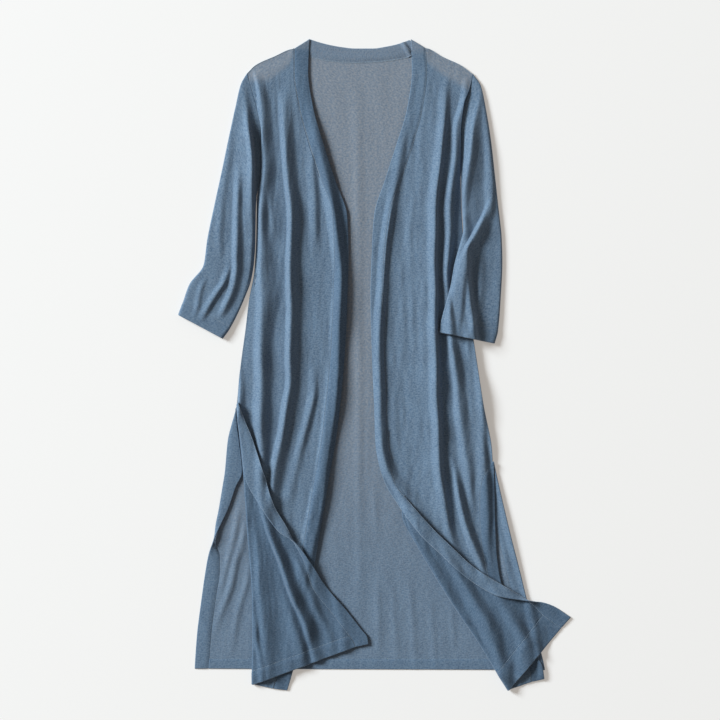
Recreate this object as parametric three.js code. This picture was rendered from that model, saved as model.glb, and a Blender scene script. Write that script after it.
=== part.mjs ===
// Long open-front knit cardigan laid flat, in millimetres: x to the viewer's right, y to the neck, z up from the
// surface it lies on. Right and left are the wearer's, so the right front is on the viewer's left.
import * as THREE from "three";

const KNIT = 1.2; // wall of the single jersey
const DOUBLED = 2.0; // wall of the turned bands, cuffs and hems
const SEAM = 0.3; // what the pieces keep between them at each seam
const HEM = 24; // depth of the hems
const CUFF = 23; // depth of the sleeve hems
const NECK_Y = 540; // y of the neck points; d in the tables below is the distance down from here
const LENGTH = 1080; // from the neck points to the hems of the fronts, along each front
const LAYER = 2.4; // mid surface of a front over the back's
const SEWN = 1.5; // the same where front and back are sewn together
const FOLD_R = 2.2; // radius of the turned folds of the two fronts
const OVER = 2.6; // mid surface of the sleeve that lies on the body, over the front's
const BLUE = new THREE.MeshStandardMaterial({ color: 0x5f7d9b, roughness: 0.9 });

// A smooth curve through the rows of a table, which never swings past them.
function curve(rows) {
  const last = rows.length - 1;
  const wide = rows[0].length;
  const rise = (i, k) => (rows[i + 1][k] - rows[i][k]) / (rows[i + 1][0] - rows[i][0]);
  const slope = (i, k) => {
    if (i === 0) return rise(0, k);
    if (i === last) return rise(last - 1, k);
    const a = rise(i - 1, k);
    const b = rise(i, k);
    return a * b > 0 ? (2 * a * b) / (a + b) : 0;
  };
  return (at) => {
    const t = Math.min(Math.max(at, rows[0][0]), rows[last][0]);
    let i = 0;
    while (i < last - 1 && rows[i + 1][0] < t) i += 1;
    const h = rows[i + 1][0] - rows[i][0];
    const s = (t - rows[i][0]) / h;
    const out = [];
    for (let k = 1; k < wide; k += 1) {
      const p = rows[i][k];
      const q = rows[i + 1][k];
      const bend = s * (1 - s) * h;
      out.push(
        p + (q - p) * s * s * (3 - 2 * s) + bend * ((1 - s) * slope(i, k) - s * slope(i + 1, k)),
      );
    }
    return out;
  };
}

const mix = (a, b, t) => a + (b - a) * t;
const mixed = (p, q, t) => p.map((v, i) => mix(v, q[i], t));
const ease = (t) => {
  const s = Math.min(Math.max(t, 0), 1);
  return s * s * (3 - 2 * s);
};

// The height that a list of ridges adds at a place: each has a crest line and its own width to either side.
function relief(ridges) {
  const lines = ridges.map(curve);
  return (x, y) =>
    lines.reduce((sum, line) => {
      const [crest, left, right, height] = line(NECK_Y - y);
      const t = (x - crest) / (x < crest ? left : right);
      return Math.abs(t) < 1 ? sum + height * (1 - t * t) ** 2 : sum;
    }, 0);
}

// Outline tables shared by the pieces that meet there.

// Shoulders and back neck seam: x, y.
const topEdge = curve([
  [-211, 484],
  [-197, 497.5],
  [-167, 511.5],
  [-133, 524.5],
  [-103, 511],
  [-67, 504],
  [-35, 502],
  [-2, 503],
  [30, 506],
  [60, 512],
  [86, 525.5],
  [115, 511],
  [145, 497],
  [165, 482],
]);

// Armhole and side seam of each side: d of the row, x, y.
const rightSide = curve([
  [0, -211, 484],
  [26, -205, 460],
  [53, -197, 433],
  [113, -187, 380],
  [177, -187, 320],
  [230, -195, 275],
  [292, -196, 215],
  [358, -199, 157],
  [427, -208, 107],
  [483, -214, 57],
  [545, -222, -2],
  [612, -229, -72],
]);
const leftSide = curve([
  [0, 165, 482],
  [26, 159, 458],
  [53, 150, 433],
  [113, 144, 380],
  [177, 144, 320],
  [230, 145, 275],
  [292, 148, 215],
  [358, 152, 157],
  [427, 157, 107],
  [483, 163, 57],
  [545, 172, -2],
  [612, 182, -68],
  [672, 195, -132],
  [700, 199, -163],
]);

// The back's two side outlines by height: d, x at the right, x at the left.
const backOutline = curve([
  [56, -211, 165],
  [80, -205, 159],
  [107, -197, 150],
  [160, -187, 144],
  [220, -187, 144],
  [265, -195, 145],
  [292, -196, 147],
  [358, -198, 151],
  [427, -207, 156],
  [483, -214, 163],
  [545, -222, 172],
  [612, -229, 182],
  [667, -243, 194],
  [720, -248, 203],
  [780, -258, 222],
  [845, -272, 231],
  [910, -283, 249],
  [985, -293, 267],
  [1048, -298, 283],
]);

// Folds and creases. Each row: d, x of the crest, width to its left, width to its right, height.
const backRelief = relief([
  [
    [60, -30, 16, 16, 0],
    [200, -27, 14, 14, 0.9],
    [700, -25, 12, 12, 0.9],
    [1000, -24, 14, 14, 0],
  ],
  [
    [835, 212, 9, 9, 0],
    [870, 219, 10, 10, 1.8],
    [905, 227, 9, 9, 0],
  ],
  [
    [900, -252, 12, 12, 0],
    [960, -262, 14, 12, 1.6],
    [1040, -268, 16, 14, 1.6],
  ],
]);
const rightRelief = relief([
  [
    [230, -183, 8, 12, 0],
    [300, -186, 9, 14, 5],
    [367, -190, 10, 15, 7],
    [457, -197, 12, 16, 9],
    [545, -196, 20, 17, 9],
    [633, -189, 26, 18, 9],
    [700, -186, 24, 16, 7],
    [790, -187, 14, 14, 0],
  ],
  [
    [80, -152, 14, 16, 0],
    [145, -151, 12, 18, 7],
    [220, -147, 10, 20, 11],
    [300, -144, 9, 20, 14],
    [400, -143, 9, 20, 14],
    [500, -140, 10, 18, 13],
    [570, -143, 10, 18, 13],
    [640, -155, 12, 18, 11],
    [723, -172, 14, 20, 8],
    [800, -176, 14, 18, 0],
  ],
  [
    [540, -110, 12, 12, 0],
    [610, -115, 13, 12, 4],
    [663, -127, 13, 12, 5],
    [720, -136, 12, 12, 3],
    [770, -140, 12, 12, 0],
  ],
  [
    [90, -112, 18, 18, 0],
    [183, -98, 24, 22, 7],
    [250, -84, 26, 24, 10],
    [323, -74, 30, 24, 11],
    [383, -67, 30, 22, 11],
    [450, -67, 30, 22, 11],
    [517, -75, 30, 24, 10],
    [605, -82, 28, 24, 10],
    [723, -98, 24, 24, 8],
    [813, -108, 22, 24, 5],
    [900, -118, 20, 24, 0],
  ],
]);
const leftRelief = relief([
  [
    [60, 108, 30, 16, 0],
    [145, 102, 38, 14, 6],
    [233, 98, 50, 12, 11],
    [323, 95, 58, 11, 15],
    [433, 95, 62, 10, 17],
    [545, 97, 62, 10, 17],
    [665, 100, 58, 11, 15],
    [753, 111, 46, 14, 10],
    [813, 126, 36, 16, 5],
    [870, 146, 24, 16, 0],
  ],
  [
    [480, 121, 8, 14, 0],
    [540, 126, 10, 17, 7],
    [600, 130, 13, 17, 11],
    [665, 132, 13, 15, 12],
    [747, 138, 13, 14, 10],
    [800, 150, 14, 14, 6],
    [860, 166, 14, 14, 0],
  ],
  [
    [560, 170, 15, 8, 0],
    [620, 171, 16, 10, 6],
    [690, 173, 16, 14, 8],
    [750, 178, 16, 14, 6],
    [810, 188, 14, 10, 3],
    [860, 193, 12, 9, 0],
  ],
  [
    [150, 56, 16, 14, 0],
    [230, 30, 16, 14, 3],
    [300, 8, 14, 14, 5],
    [450, 1, 12, 14, 5],
    [620, 6, 12, 14, 5],
    [690, 10, 12, 14, 4],
    [750, 40, 14, 14, 0],
  ],
]);
const rightFlapRelief = relief([
  [
    [745, -192, 8, 10, 0],
    [777, -186, 10, 12, 5],
    [817, -177, 12, 14, 9],
    [865, -164, 14, 15, 11],
    [908, -148, 15, 16, 11],
    [943, -133, 15, 16, 10],
    [1007, -112, 15, 16, 8],
    [1060, -98, 15, 16, 6],
  ],
  [
    [950, -192, 6, 8, 0],
    [993, -189, 8, 10, 4],
    [1025, -184, 10, 10, 6],
    [1075, -176, 12, 12, 6],
  ],
  [
    [900, -70, 14, 12, 0],
    [940, -60, 16, 14, 3],
    [1000, -56, 18, 16, 4],
  ],
]);
const leftFlapRelief = relief([
  [
    [830, 112, 10, 12, 0],
    [870, 128, 14, 16, 4],
    [905, 150, 18, 20, 7],
    [970, 187, 22, 22, 8],
    [1040, 214, 20, 22, 5],
  ],
  [
    [905, 196, 12, 14, 0],
    [940, 214, 16, 18, 4],
    [1000, 253, 20, 20, 5],
  ],
]);
const rightSleeveRelief = relief([
  [
    [70, -224, 8, 10, 0],
    [120, -221, 9, 12, 5],
    [200, -216, 10, 14, 9],
    [280, -207, 11, 12, 8],
    [340, -205, 10, 10, 5],
    [400, -214, 10, 10, 0],
  ],
  [
    [150, -236, 10, 9, 0],
    [230, -237, 12, 10, 6],
    [320, -240, 14, 10, 8],
    [380, -240, 16, 10, 7],
    [410, -250, 16, 12, 7],
    [440, -262, 16, 14, 6],
    [480, -276, 14, 14, 3],
  ],
  [
    [200, -258, 10, 10, 0],
    [290, -264, 10, 10, 4],
    [360, -268, 10, 10, 5],
    [410, -288, 10, 12, 4],
    [450, -300, 10, 12, 2],
  ],
]);
const leftSleeveRelief = relief([
  [
    [262, 196, 8, 10, 0],
    [290, 184, 10, 20, 7],
    [323, 164, 12, 26, 11],
    [365, 147, 12, 30, 12],
    [407, 134, 10, 30, 11],
    [450, 126, 9, 28, 9],
    [487, 120, 8, 26, 6],
  ],
  [
    [70, 176, 8, 12, 0],
    [140, 172, 10, 16, 6],
    [210, 180, 12, 12, 6],
    [262, 184, 12, 10, 0],
  ],
  [
    [300, 196, 14, 10, 0],
    [380, 190, 16, 12, 5],
    [450, 180, 16, 14, 5],
    [500, 172, 16, 16, 3],
  ],
]);

// Mid surfaces. Each one is a height over the surface the cardigan lies on, so that no layer meets the next.

// 1 over the back, falling to 0 within 24 mm beyond its outline.
function overBack(x, y) {
  const [right, left] = backOutline(NECK_Y - y);
  const beyond = Math.max(right - x, x - left, -509 - y);
  return 1 - ease((beyond - 8) / 16);
}
const backZ = (x, y) => KNIT / 2 + backRelief(x, y);
// How far a front comes down to the back at the shoulder and side seams.
function sewnDown(x, y) {
  const d = NECK_Y - y;
  const shoulder = (1 - ease((topEdge(x)[0] - y) / 22)) * ease((Math.abs(x + 23) - 112) / 10);
  const [right, left] = backOutline(d);
  const within = Math.min(x - right, left - x);
  const side = (1 - ease(within / 12)) * ease((d - 250) / 30) * (1 - ease((d - 590) / 30));
  return (LAYER - SEWN) * Math.max(shoulder, d > 225 ? side : 0);
}
const frontZ = (side) => (x, y) =>
  KNIT / 2 +
  overBack(x, y) * (LAYER + backRelief(x, y) - sewnDown(x, y)) +
  (side === "right" ? rightRelief(x, y) : leftRelief(x, y));
// The turned part of a front over the part that it lies on, and beyond it on the back or the surface.
const flapZ = (side) => (x, y) => {
  const d = NECK_Y - y;
  const edge = side === "right" ? rightFrontBand(d)[2] : leftFrontSlit(d)[2];
  const lying = 1 - ease((x - edge - 2) / 26);
  const own = side === "right" ? rightFlapRelief(x, y) : leftFlapRelief(x, y);
  return frontZ(side)(x, y) + 2 * FOLD_R * lying + own;
};

// The turned edges of the two fronts: d, x, y, how far the row is turned.
const rightTurn = curve([
  [605, -227, -64, 0],
  [635, -226, -95, 1],
  [672, -223, -127, 1],
  [725, -217.5, -180, 1],
  [787, -213, -245, 1],
  [820, -211, -279, 1],
  [852, -208, -312, 1],
  [880, -205.5, -340, 1],
  [927, -202.5, -388, 1],
  [1000, -202, -460, 1],
  [1056, -203, -510, 1],
  [1080, -203, -533, 1],
]);
const leftTurn = curve([
  [735, 41, -199, 0],
  [762, 45, -226, 0.5],
  [790, 47, -252, 1],
  [845, 72, -303, 1],
  [885, 96, -344, 1],
  [927, 122, -386, 1],
  [965, 145, -421, 1],
  [1000, 169, -456, 1],
  [1030, 188, -486, 1],
  [1056, 204, -513, 1],
  [1080, 223, -543, 1],
]);

// Bands. Each row: d, seam edge x, y, free edge x, y, layer it lies with, how high its free edge stands.
// Layer 0 is beside the lower layer, 1 beside the turned layer, 2 on top of the turned layer.
const rightFrontBand = curve([
  [0, -133, 524.5, -108, 540, 0, 0],
  [53, -133, 487, -110, 487, 0, 0],
  [113, -124, 427, -102, 428, 0, 0],
  [177, -107, 366, -84, 363, 0, 0],
  [230, -90, 313, -66, 308, 0, 0],
  [292, -69, 250, -45, 246, 0, 0],
  [358, -66, 182, -43, 182, 0, 0],
  [427, -68, 113, -45, 113, 0, 0],
  [483, -70, 57, -47, 57, 0, 0],
  [545, -74, -5, -51, -5, 0, 0],
  [605, -80, -65, -57, -66, 0, 0],
  [672, -88, -131, -65, -132, 0, 0],
  [725, -98, -183, -75, -185, 0, 0],
  [787, -108, -245, -85, -247, 0, 0],
  [852, -119, -310, -96, -312, 0, 0],
  [927, -131, -383, -108, -387, 0, 0],
  [1000, -146, -456, -123, -461, 0, 0],
  [1056, -161, -515, -138, -519, 0, 0],
  [1080, -168, -540, -145, -543, 0, 0],
]);
const leftFrontBand = curve([
  [0, 86, 525.5, 62, 540, 0, 0],
  [53, 88, 487, 64, 487, 0, 0],
  [113, 81, 427, 56, 426, 0, 0],
  [177, 64, 363, 37, 362, 0, 0],
  [230, 46, 310, 20, 309, 0, 0],
  [292, 25, 248, 1, 247, 0, 0],
  [358, 17, 182, -3, 182, 0, 0],
  [427, 14, 113, -5, 113, 0, 0],
  [483, 16, 57, -4, 57, 0, 0],
  [545, 18, -5, -2, -5, 0, 0],
  [612, 21, -72, 1, -72, 0, 0],
  [672, 20, -132, 3, -132, 0, 0],
  [700, 26, -162, 8, -163, 0, 0],
  [735, 36, -200, 19, -198, 0, 0],
  [762, 55, -225, 40, -233, 1, 0],
  [790, 72, -245, 57, -257, 2, 0],
  [845, 97, -273, 83, -289, 2, 0],
  [885, 129, -304, 114, -318, 2, 0],
  [927, 161, -334, 147, -349, 2, 0],
  [965, 190, -354, 177, -370, 2, 0],
  [1000, 219, -371, 209, -386, 2, 1],
  [1030, 252, -391, 257, -394, 1.5, 5],
  [1045, 268, -405, 279, -397, 1, 1],
  [1056, 281, -418, 297, -403, 1, 0],
  [1080, 311, -440, 327, -422, 1, 0],
]);
const rightFrontSlit = curve([
  [605, -226, -64, -228, -68, 1, 0],
  [635, -216, -92, -226, -98, 2, 0],
  [672, -204, -120, -220.5, -130, 2, 0],
  [725, -185, -176, -215, -183, 2, 0],
  [787, -165, -238, -182, -246, 2, 0],
  [820, -147, -268, -159, -277, 2, 1],
  [852, -131, -300, -129, -299, 1.5, 5],
  [880, -116, -330, -102, -336, 1, 1],
  [927, -104, -369, -83, -367, 1, 0],
  [1000, -67, -419, -45, -412, 1, 0],
  [1056, -41, -453, -19, -445, 1, 0],
  [1080, -28, -470, -5, -462, 1, 0],
]);
const leftFrontSlit = curve([
  [700, 197, -163, 199, -163, 0, 0],
  [735, 179, -197, 200, -197, 0, 0],
  [762, 176, -222, 200.5, -222, 0, 0],
  [790, 176, -249, 201, -250, 0, 0],
  [845, 179, -300, 203, -305, 0, 0],
  [885, 187, -343, 208, -349, 0, 0],
  [927, 199, -380, 219, -388, 0, 0],
  [965, 213, -412, 233, -425, 0, 0],
  [1000, 227, -441, 249, -454, 0, 0],
  [1030, 242, -465, 263, -479, 0, 0],
  [1056, 256, -490, 279, -505, 0, 0],
  [1080, 263, -512, 284, -527, 0, 0],
]);
// The back's slit bands; layer 2 is turned over on top of the back.
const rightBackSlit = curve([
  [612, -229, -72, -230, -76, 1, 0],
  [640, -236, -98, -229, -100, 2, 0],
  [672, -243, -127, -225.5, -127, 2, 0],
  [725, -248, -180, -220, -180, 2, 0],
  [787, -258, -241, -243, -240, 2, 0],
  [815, -264, -272, -257, -270, 2, 1],
  [835, -266, -294, -267, -294, 1.5, 5],
  [858, -257, -320, -275, -318, 1, 1],
  [885, -257, -345, -280, -345, 1, 0],
  [927, -263, -387, -286, -387, 1, 0],
  [1000, -271, -450, -294, -450, 1, 0],
  [1056, -274, -490, -297, -490, 1, 0],
  [1080, -275, -507, -298, -507, 1, 0],
]);
const leftBackSlit = curve([
  [700, 197, -163, 199, -163, 1, 0],
  [735, 187, -195, 206, -195, 1, 0],
  [790, 196, -243, 217, -243, 1, 0],
  [845, 208, -293, 229, -293, 1, 0],
  [885, 220, -343, 242, -343, 1, 0],
  [927, 231, -388, 253, -388, 1, 0],
  [1000, 247, -450, 269, -450, 1, 0],
  [1056, 258, -490, 280, -490, 1, 0],
  [1080, 262, -509, 284, -509, 1, 0],
]);
// Sleeves by rows: distance along the outer edge, outer edge x, y, inner edge x, y, half the tube's least height.
const rightSleeve = curve([
  [0, -211, 484, -195.8, 275, 1.2],
  [20, -221, 466, -196.5, 268, 1.8],
  [58, -230, 428, -197.5, 258, 2.3],
  [113, -242, 373, -198.5, 241, 2.5],
  [168, -253, 320, -199.5, 222, 2.5],
  [225, -265, 265, -199.5, 200, 2.5],
  [284, -277, 207, -201, 170, 2.5],
  [325, -283, 165, -205, 140, 2.5],
  [367, -307, 132, -217, 107, 2.8],
  [396, -317, 104, -238, 63, 3.3],
  [420, -325, 82, -252, 43, 3.5],
]);
const leftSleeve = curve([
  [0, 165, 482, 145.8, 275, 1.2],
  [20, 177, 464, 147.3, 266, 1.8],
  [58, 185, 428, 149, 255, 2.3],
  [113, 194, 373, 150.5, 240, 2.5],
  [168, 200, 320, 149, 222, 2.5],
  [225, 206, 265, 142, 196, 2.5],
  [284, 212, 207, 134, 166, 2.5],
  [325, 213, 170, 128, 133, 2.5],
  [390, 210, 107, 118, 95, 2.8],
  [440, 206, 58, 113, 77, 3.3],
  [463, 200, 35, 109, 53, 3.5],
]);

// Solids: each is a grid of mid-surface points, moved to either side along its normals and closed. A doubled wall
// keeps the knit's under face and is thicker upwards.

function shell(name, grid, wall, ring = false) {
  const up = (wall - KNIT) / 2;
  const rows = grid.length;
  const cols = grid[0].length;
  const at = (i, j) => grid[i][ring ? (j + cols) % cols : j];
  const points = [];
  for (const way of [1, -1])
    for (let i = 0; i < rows; i += 1)
      for (let j = 0; j < cols; j += 1) {
        const i0 = Math.max(i - 1, 0);
        const i1 = Math.min(i + 1, rows - 1);
        const j0 = ring ? j - 1 : Math.max(j - 1, 0);
        const j1 = ring ? j + 1 : Math.min(j + 1, cols - 1);
        const along = at(i1, j).clone().sub(at(i0, j));
        const across = at(i, j1).clone().sub(at(i, j0));
        const normal = across.cross(along).normalize();
        points.push(at(i, j).clone().addScaledVector(normal, (way * wall) / 2 + up * normal.z));
      }
  const id = (layer, i, j) => layer * rows * cols + i * cols + (ring ? j % cols : j);
  const faces = [];
  const quad = (a, b, c, d) => faces.push([a, b, c], [a, c, d]);
  const spans = ring ? cols : cols - 1;
  for (let i = 0; i < rows - 1; i += 1)
    for (let j = 0; j < spans; j += 1) {
      quad(id(0, i, j), id(0, i, j + 1), id(0, i + 1, j + 1), id(0, i + 1, j));
      quad(id(1, i, j), id(1, i + 1, j), id(1, i + 1, j + 1), id(1, i, j + 1));
    }
  for (let j = 0; j < spans; j += 1) {
    quad(id(0, 0, j + 1), id(0, 0, j), id(1, 0, j), id(1, 0, j + 1));
    quad(id(0, rows - 1, j), id(0, rows - 1, j + 1), id(1, rows - 1, j + 1), id(1, rows - 1, j));
  }
  if (!ring)
    for (let i = 0; i < rows - 1; i += 1) {
      quad(id(0, i, 0), id(0, i + 1, 0), id(1, i + 1, 0), id(1, i, 0));
      quad(id(0, i + 1, cols - 1), id(0, i, cols - 1), id(1, i, cols - 1), id(1, i + 1, cols - 1));
    }
  let volume = 0;
  for (const [a, b, c] of faces) volume += points[a].dot(points[b].clone().cross(points[c]));
  const flat = [];
  for (const [a, b, c] of faces)
    for (const k of volume > 0 ? [a, b, c] : [a, c, b]) flat.push(...points[k].toArray());
  const geometry = new THREE.BufferGeometry();
  geometry.setAttribute("position", new THREE.Float32BufferAttribute(flat, 3));
  const mesh = new THREE.Mesh(geometry, BLUE);
  mesh.name = name;
  return mesh;
}

const steps = (from, to, count) => Array.from({ length: count + 1 }, (_, i) => mix(from, to, i / count));
const ARMHOLE_ROWS = steps(0, 230, 10);
const DOWN_ROWS = [...steps(230, 572, 10), 605, 635, 668, 700, 718, 735].slice(1);
const TURNED_ROWS = [762, 790, 817, 845, 865, 885, 906, 927, 950, 975, 1000, 1020, 1038];
const PANEL_ROWS = [...ARMHOLE_ROWS, ...DOWN_ROWS, ...TURNED_ROWS, LENGTH - HEM - SEAM / 2];
const HEM_ROWS = steps(LENGTH - HEM + SEAM / 2, LENGTH, 2);
const BAND_ROWS = [...PANEL_ROWS.slice(0, -1), LENGTH - HEM, LENGTH - HEM / 2, LENGTH];
const RIGHT_SLIT = 605;
const LEFT_SLIT = 700;

// The shoulder's curve, which the first rows of the panels follow and the later ones lose.
function bowed(p, x0, chord, d) {
  const keep = Math.max(1 - d / 150, 0) ** 2;
  return [p[0], p[1] + keep * (topEdge(x0)[0] - chord)];
}

// One row of a front: its lower part, the turned edge and the part that lies on top, from its flat end.
const LOWER = 13;
const TURN = 3;
const UPPER = 6;
function frontEnds(side, d) {
  if (side === "right")
    return [rightFrontBand(d), d < RIGHT_SLIT ? rightSide(d) : rightFrontSlit(d)];
  return [d < LEFT_SLIT ? leftSide(d) : leftFrontSlit(d), leftFrontBand(d)];
}
function frontRow(side, d) {
  const turn = side === "right" ? rightTurn : leftTurn;
  const [p, r] = frontEnds(side, d).map((end) => end.slice(0, 2));
  const [start, stop] = frontEnds(side, 0);
  const [, , share] = turn(d);
  const turned = ease(share);
  const low = frontZ(side);
  const high = flapZ(side);
  const before = turn(d - 6);
  const after = turn(d + 6);
  const run = [after[0] - before[0], after[1] - before[1]];
  const size = Math.hypot(...run);
  const out = [run[1] / size, -run[0] / size];
  const inner = [turn(d)[0] - out[0] * FOLD_R, turn(d)[1] - out[1] * FOLD_R];
  const count = LOWER + TURN + UPPER;
  const short = (1 - 9 / Math.hypot(r[0] - p[0], r[1] - p[1])) / LOWER;
  return Array.from({ length: count + 1 }, (_, j) => {
    const q = j <= LOWER ? j * short : mix(LOWER * short, 1, (j - LOWER) / (count - LOWER));
    const x0 = mix(start[0], stop[0], q);
    const flat = bowed(mixed(p, r, q), x0, mix(start[1], stop[1], q), d);
    const flatPoint = new THREE.Vector3(...flat, low(...flat));
    if (turned === 0) return flatPoint;
    let spot;
    let z;
    if (j <= LOWER) {
      spot = mixed(p, inner, j / LOWER);
      z = low(...spot);
    } else if (j < LOWER + TURN) {
      const angle = (Math.PI * (j - LOWER)) / TURN;
      spot = [
        inner[0] + out[0] * FOLD_R * Math.sin(angle),
        inner[1] + out[1] * FOLD_R * Math.sin(angle),
      ];
      z = mix(low(...inner), high(...inner), (1 - Math.cos(angle)) / 2);
    } else {
      spot = mixed(inner, r, (j - LOWER - TURN) / UPPER);
      z = high(...spot);
    }
    return flatPoint.lerp(new THREE.Vector3(...spot, z), turned);
  });
}

// A front's panel or hem: the rows, with both ends drawn in by half a seam.
function front(name, side, rows, wall) {
  const grid = rows.map((d) => {
    const row = frontRow(side, d);
    for (const [end, next] of [
      [0, 1],
      [row.length - 1, row.length - 2],
    ]) {
      const inwards = row[next].clone().sub(row[end]).setLength(SEAM);
      row[end].add(inwards);
    }
    return row;
  });
  return shell(name, grid, wall);
}

// A band between its seam edge and its free edge, lying with its layer.
const ON_TOP = 3.2;
function band(name, table, rows, low, high) {
  const grid = rows.map((d) => {
    const [sx, sy, fx, fy, layer, stand] = table(d);
    const gap = (SEAM + 0.2 * stand) / Math.max(Math.hypot(fx - sx, fy - sy), 8);
    return steps(layer > 1.9 ? 0 : gap, 1, 3).map((s) => {
      const x = mix(sx, fx, s);
      const y = mix(sy, fy, s);
      const flat = mix(low(x, y), high(x, y), Math.min(layer, 1));
      return new THREE.Vector3(x, y, flat + Math.max(layer - 1, 0) * ON_TOP + stand * s);
    });
  });
  return shell(name, grid, DOUBLED);
}
const below = (from) => BAND_ROWS.filter((d) => d >= from);

// The back's rows, bowed to the shoulders and neck at the top.
const BACK_COLS = 14;
const BACK_ROWS = PANEL_ROWS.filter((d, i) => i < 11 || i % 2 === 0 || d > 1038 || (d > 690 && d < 720));
function backRow(d) {
  const ends = (at) => [
    at < RIGHT_SLIT ? rightSide(at) : rightBackSlit(at),
    at < LEFT_SLIT ? leftSide(at) : leftBackSlit(at),
  ];
  const [right, left] = ends(d);
  const [start, stop] = ends(0);
  return steps(0, 1, BACK_COLS).map((q) => {
    const chord = mix(start[1], stop[1], q);
    const p = bowed(mixed(right.slice(0, 2), left.slice(0, 2), q), mix(start[0], stop[0], q), chord, d);
    return new THREE.Vector3(...p, backZ(...p));
  });
}
function backPiece(name, rows, wall) {
  const grid = rows.map((d) => {
    const row = backRow(d);
    row[0].x += SEAM;
    row[BACK_COLS].x -= SEAM;
    return row;
  });
  return shell(name, grid, wall);
}
function backBand(name, table, from) {
  const rows = [...BACK_ROWS.slice(0, -1), LENGTH - HEM, LENGTH].filter((d) => d >= from);
  return band(name, table, rows, backZ, backZ);
}

// The back neck band, from one shoulder's neck point to the other: x at the seam, x and y of the free edge.
const neckBand = curve([
  [-131, -108, 541],
  [-104, -90, 535],
  [-67, -58, 528],
  [-35, -30, 525],
  [-2, -2, 525],
  [28, 20, 528],
  [58, 42, 533],
  [85, 61, 540],
]);
function neck() {
  const seam = backRow(0).slice(3, 12);
  const grid = seam.map((at) => {
    const [fx, fy] = neckBand(at.x);
    return steps(0, 1, 2).map(
      (s) => new THREE.Vector3(mix(at.x, fx, s), mix(at.y + SEAM, fy, s), KNIT / 2),
    );
  });
  return shell("back_neck_band", grid, DOUBLED);
}

// A sleeve's ring at one distance along it: the armhole's own points in its first row, then even across.
const SLEEVE_TURN = 3;
function sleeveRing(side, s) {
  const table = side === "right" ? rightSleeve : leftSleeve;
  const armhole = side === "right" ? rightSide : leftSide;
  const [ox, oy, ix, iy, half] = table(s);
  const [ax, ay] = armhole(0);
  const [bx, by] = armhole(230);
  const keep = Math.max(1 - s / 150, 0) ** 2;
  const outward = side === "right" ? -1 : 1;
  const own = side === "right" ? rightSleeveRelief : leftSleeveRelief;
  const lowest = (x, y) => {
    if (side === "right") return KNIT / 2;
    const [, edge] = backOutline(NECK_Y - y);
    const over = ease((edge + 15 - x) / 13) * ease((262 - y) / 28);
    return mix(KNIT / 2, frontZ("left")(x, y) + OVER, over);
  };
  const spots = ARMHOLE_ROWS.map((d, k) => {
    const u = k / (ARMHOLE_ROWS.length - 1);
    const [x, y] = armhole(d);
    const even = [mix(ox, ix, u), mix(oy, iy, u)];
    const bow = [x - mix(ax, bx, u), y - mix(ay, by, u)];
    return [even[0] + keep * bow[0] + outward * 0.8 * SEAM, even[1] + keep * bow[1]];
  });
  const reach = Math.hypot(ix - ox, iy - oy);
  const axis = [(ix - ox) / reach, (iy - oy) / reach];
  const end = (k, sign) => [spots[k][0] + sign * axis[0] * half, spots[k][1] + sign * axis[1] * half];
  const last = spots.length - 1;
  spots[0] = end(0, 1);
  spots[last] = end(last, -1);
  const open = 2 * half;
  const upper = ([x, y], k) => {
    const inside = Math.sin((Math.PI * k) / last) ** 0.5;
    return lowest(x, y) + open + own(x, y) * inside * ease(s / 40);
  };
  const ring = spots.map(([x, y]) => new THREE.Vector3(x, y, lowest(x, y)));
  const arc = (k, sign) => {
    const from = lowest(...spots[k]);
    const to = upper(spots[k], k);
    for (let n = 1; n < SLEEVE_TURN; n += 1) {
      const angle = (Math.PI * n) / SLEEVE_TURN;
      const bulge = sign * half * Math.sin(angle);
      const z = sign > 0 ? mix(from, to, (1 - Math.cos(angle)) / 2) : mix(to, from, (1 - Math.cos(angle)) / 2);
      ring.push(new THREE.Vector3(spots[k][0] + axis[0] * bulge, spots[k][1] + axis[1] * bulge, z));
    }
  };
  arc(last, 1);
  for (let k = last; k >= 0; k -= 1) ring.push(new THREE.Vector3(...spots[k], upper(spots[k], k)));
  arc(0, -1);
  return ring;
}
const SLEEVE_END = { right: 420, left: 463 };
function sleeve(side) {
  const end = SLEEVE_END[side] - CUFF - SEAM / 2;
  const rows = [0, 12, ...steps(30, end, 13)];
  return shell(side + "_sleeve", rows.map((s) => sleeveRing(side, s)), KNIT, true);
}
function cuff(side) {
  const rows = steps(SLEEVE_END[side] - CUFF + SEAM / 2, SLEEVE_END[side], 2);
  return shell(side + "_cuff", rows.map((s) => sleeveRing(side, s)), DOUBLED, true);
}

const root = new THREE.Group();
root.add(
  backPiece("back_panel", BACK_ROWS, KNIT),
  backPiece("back_hem_band", HEM_ROWS, DOUBLED),
  backBand("back_slit_band_right", rightBackSlit, RIGHT_SLIT),
  backBand("back_slit_band_left", leftBackSlit, LEFT_SLIT),
  neck(),
  front("right_front_panel", "right", PANEL_ROWS, KNIT),
  front("left_front_panel", "left", PANEL_ROWS, KNIT),
  front("right_front_hem_band", "right", HEM_ROWS, DOUBLED),
  front("left_front_hem_band", "left", HEM_ROWS, DOUBLED),
  band("right_front_band", rightFrontBand, BAND_ROWS, frontZ("right"), flapZ("right")),
  band("left_front_band", leftFrontBand, BAND_ROWS, frontZ("left"), flapZ("left")),
  band("right_front_slit_band", rightFrontSlit, below(RIGHT_SLIT), frontZ("right"), flapZ("right")),
  band("left_front_slit_band", leftFrontSlit, below(LEFT_SLIT), frontZ("left"), flapZ("left")),
  sleeve("right"),
  sleeve("left"),
  cuff("right"),
  cuff("left"),
);
// The origin is the middle of the underside.
const box = new THREE.Box3().setFromObject(root);
root.position.set(-(box.min.x + box.max.x) / 2, -(box.min.y + box.max.y) / 2, -box.min.z);
export default root;
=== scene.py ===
import math

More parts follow.
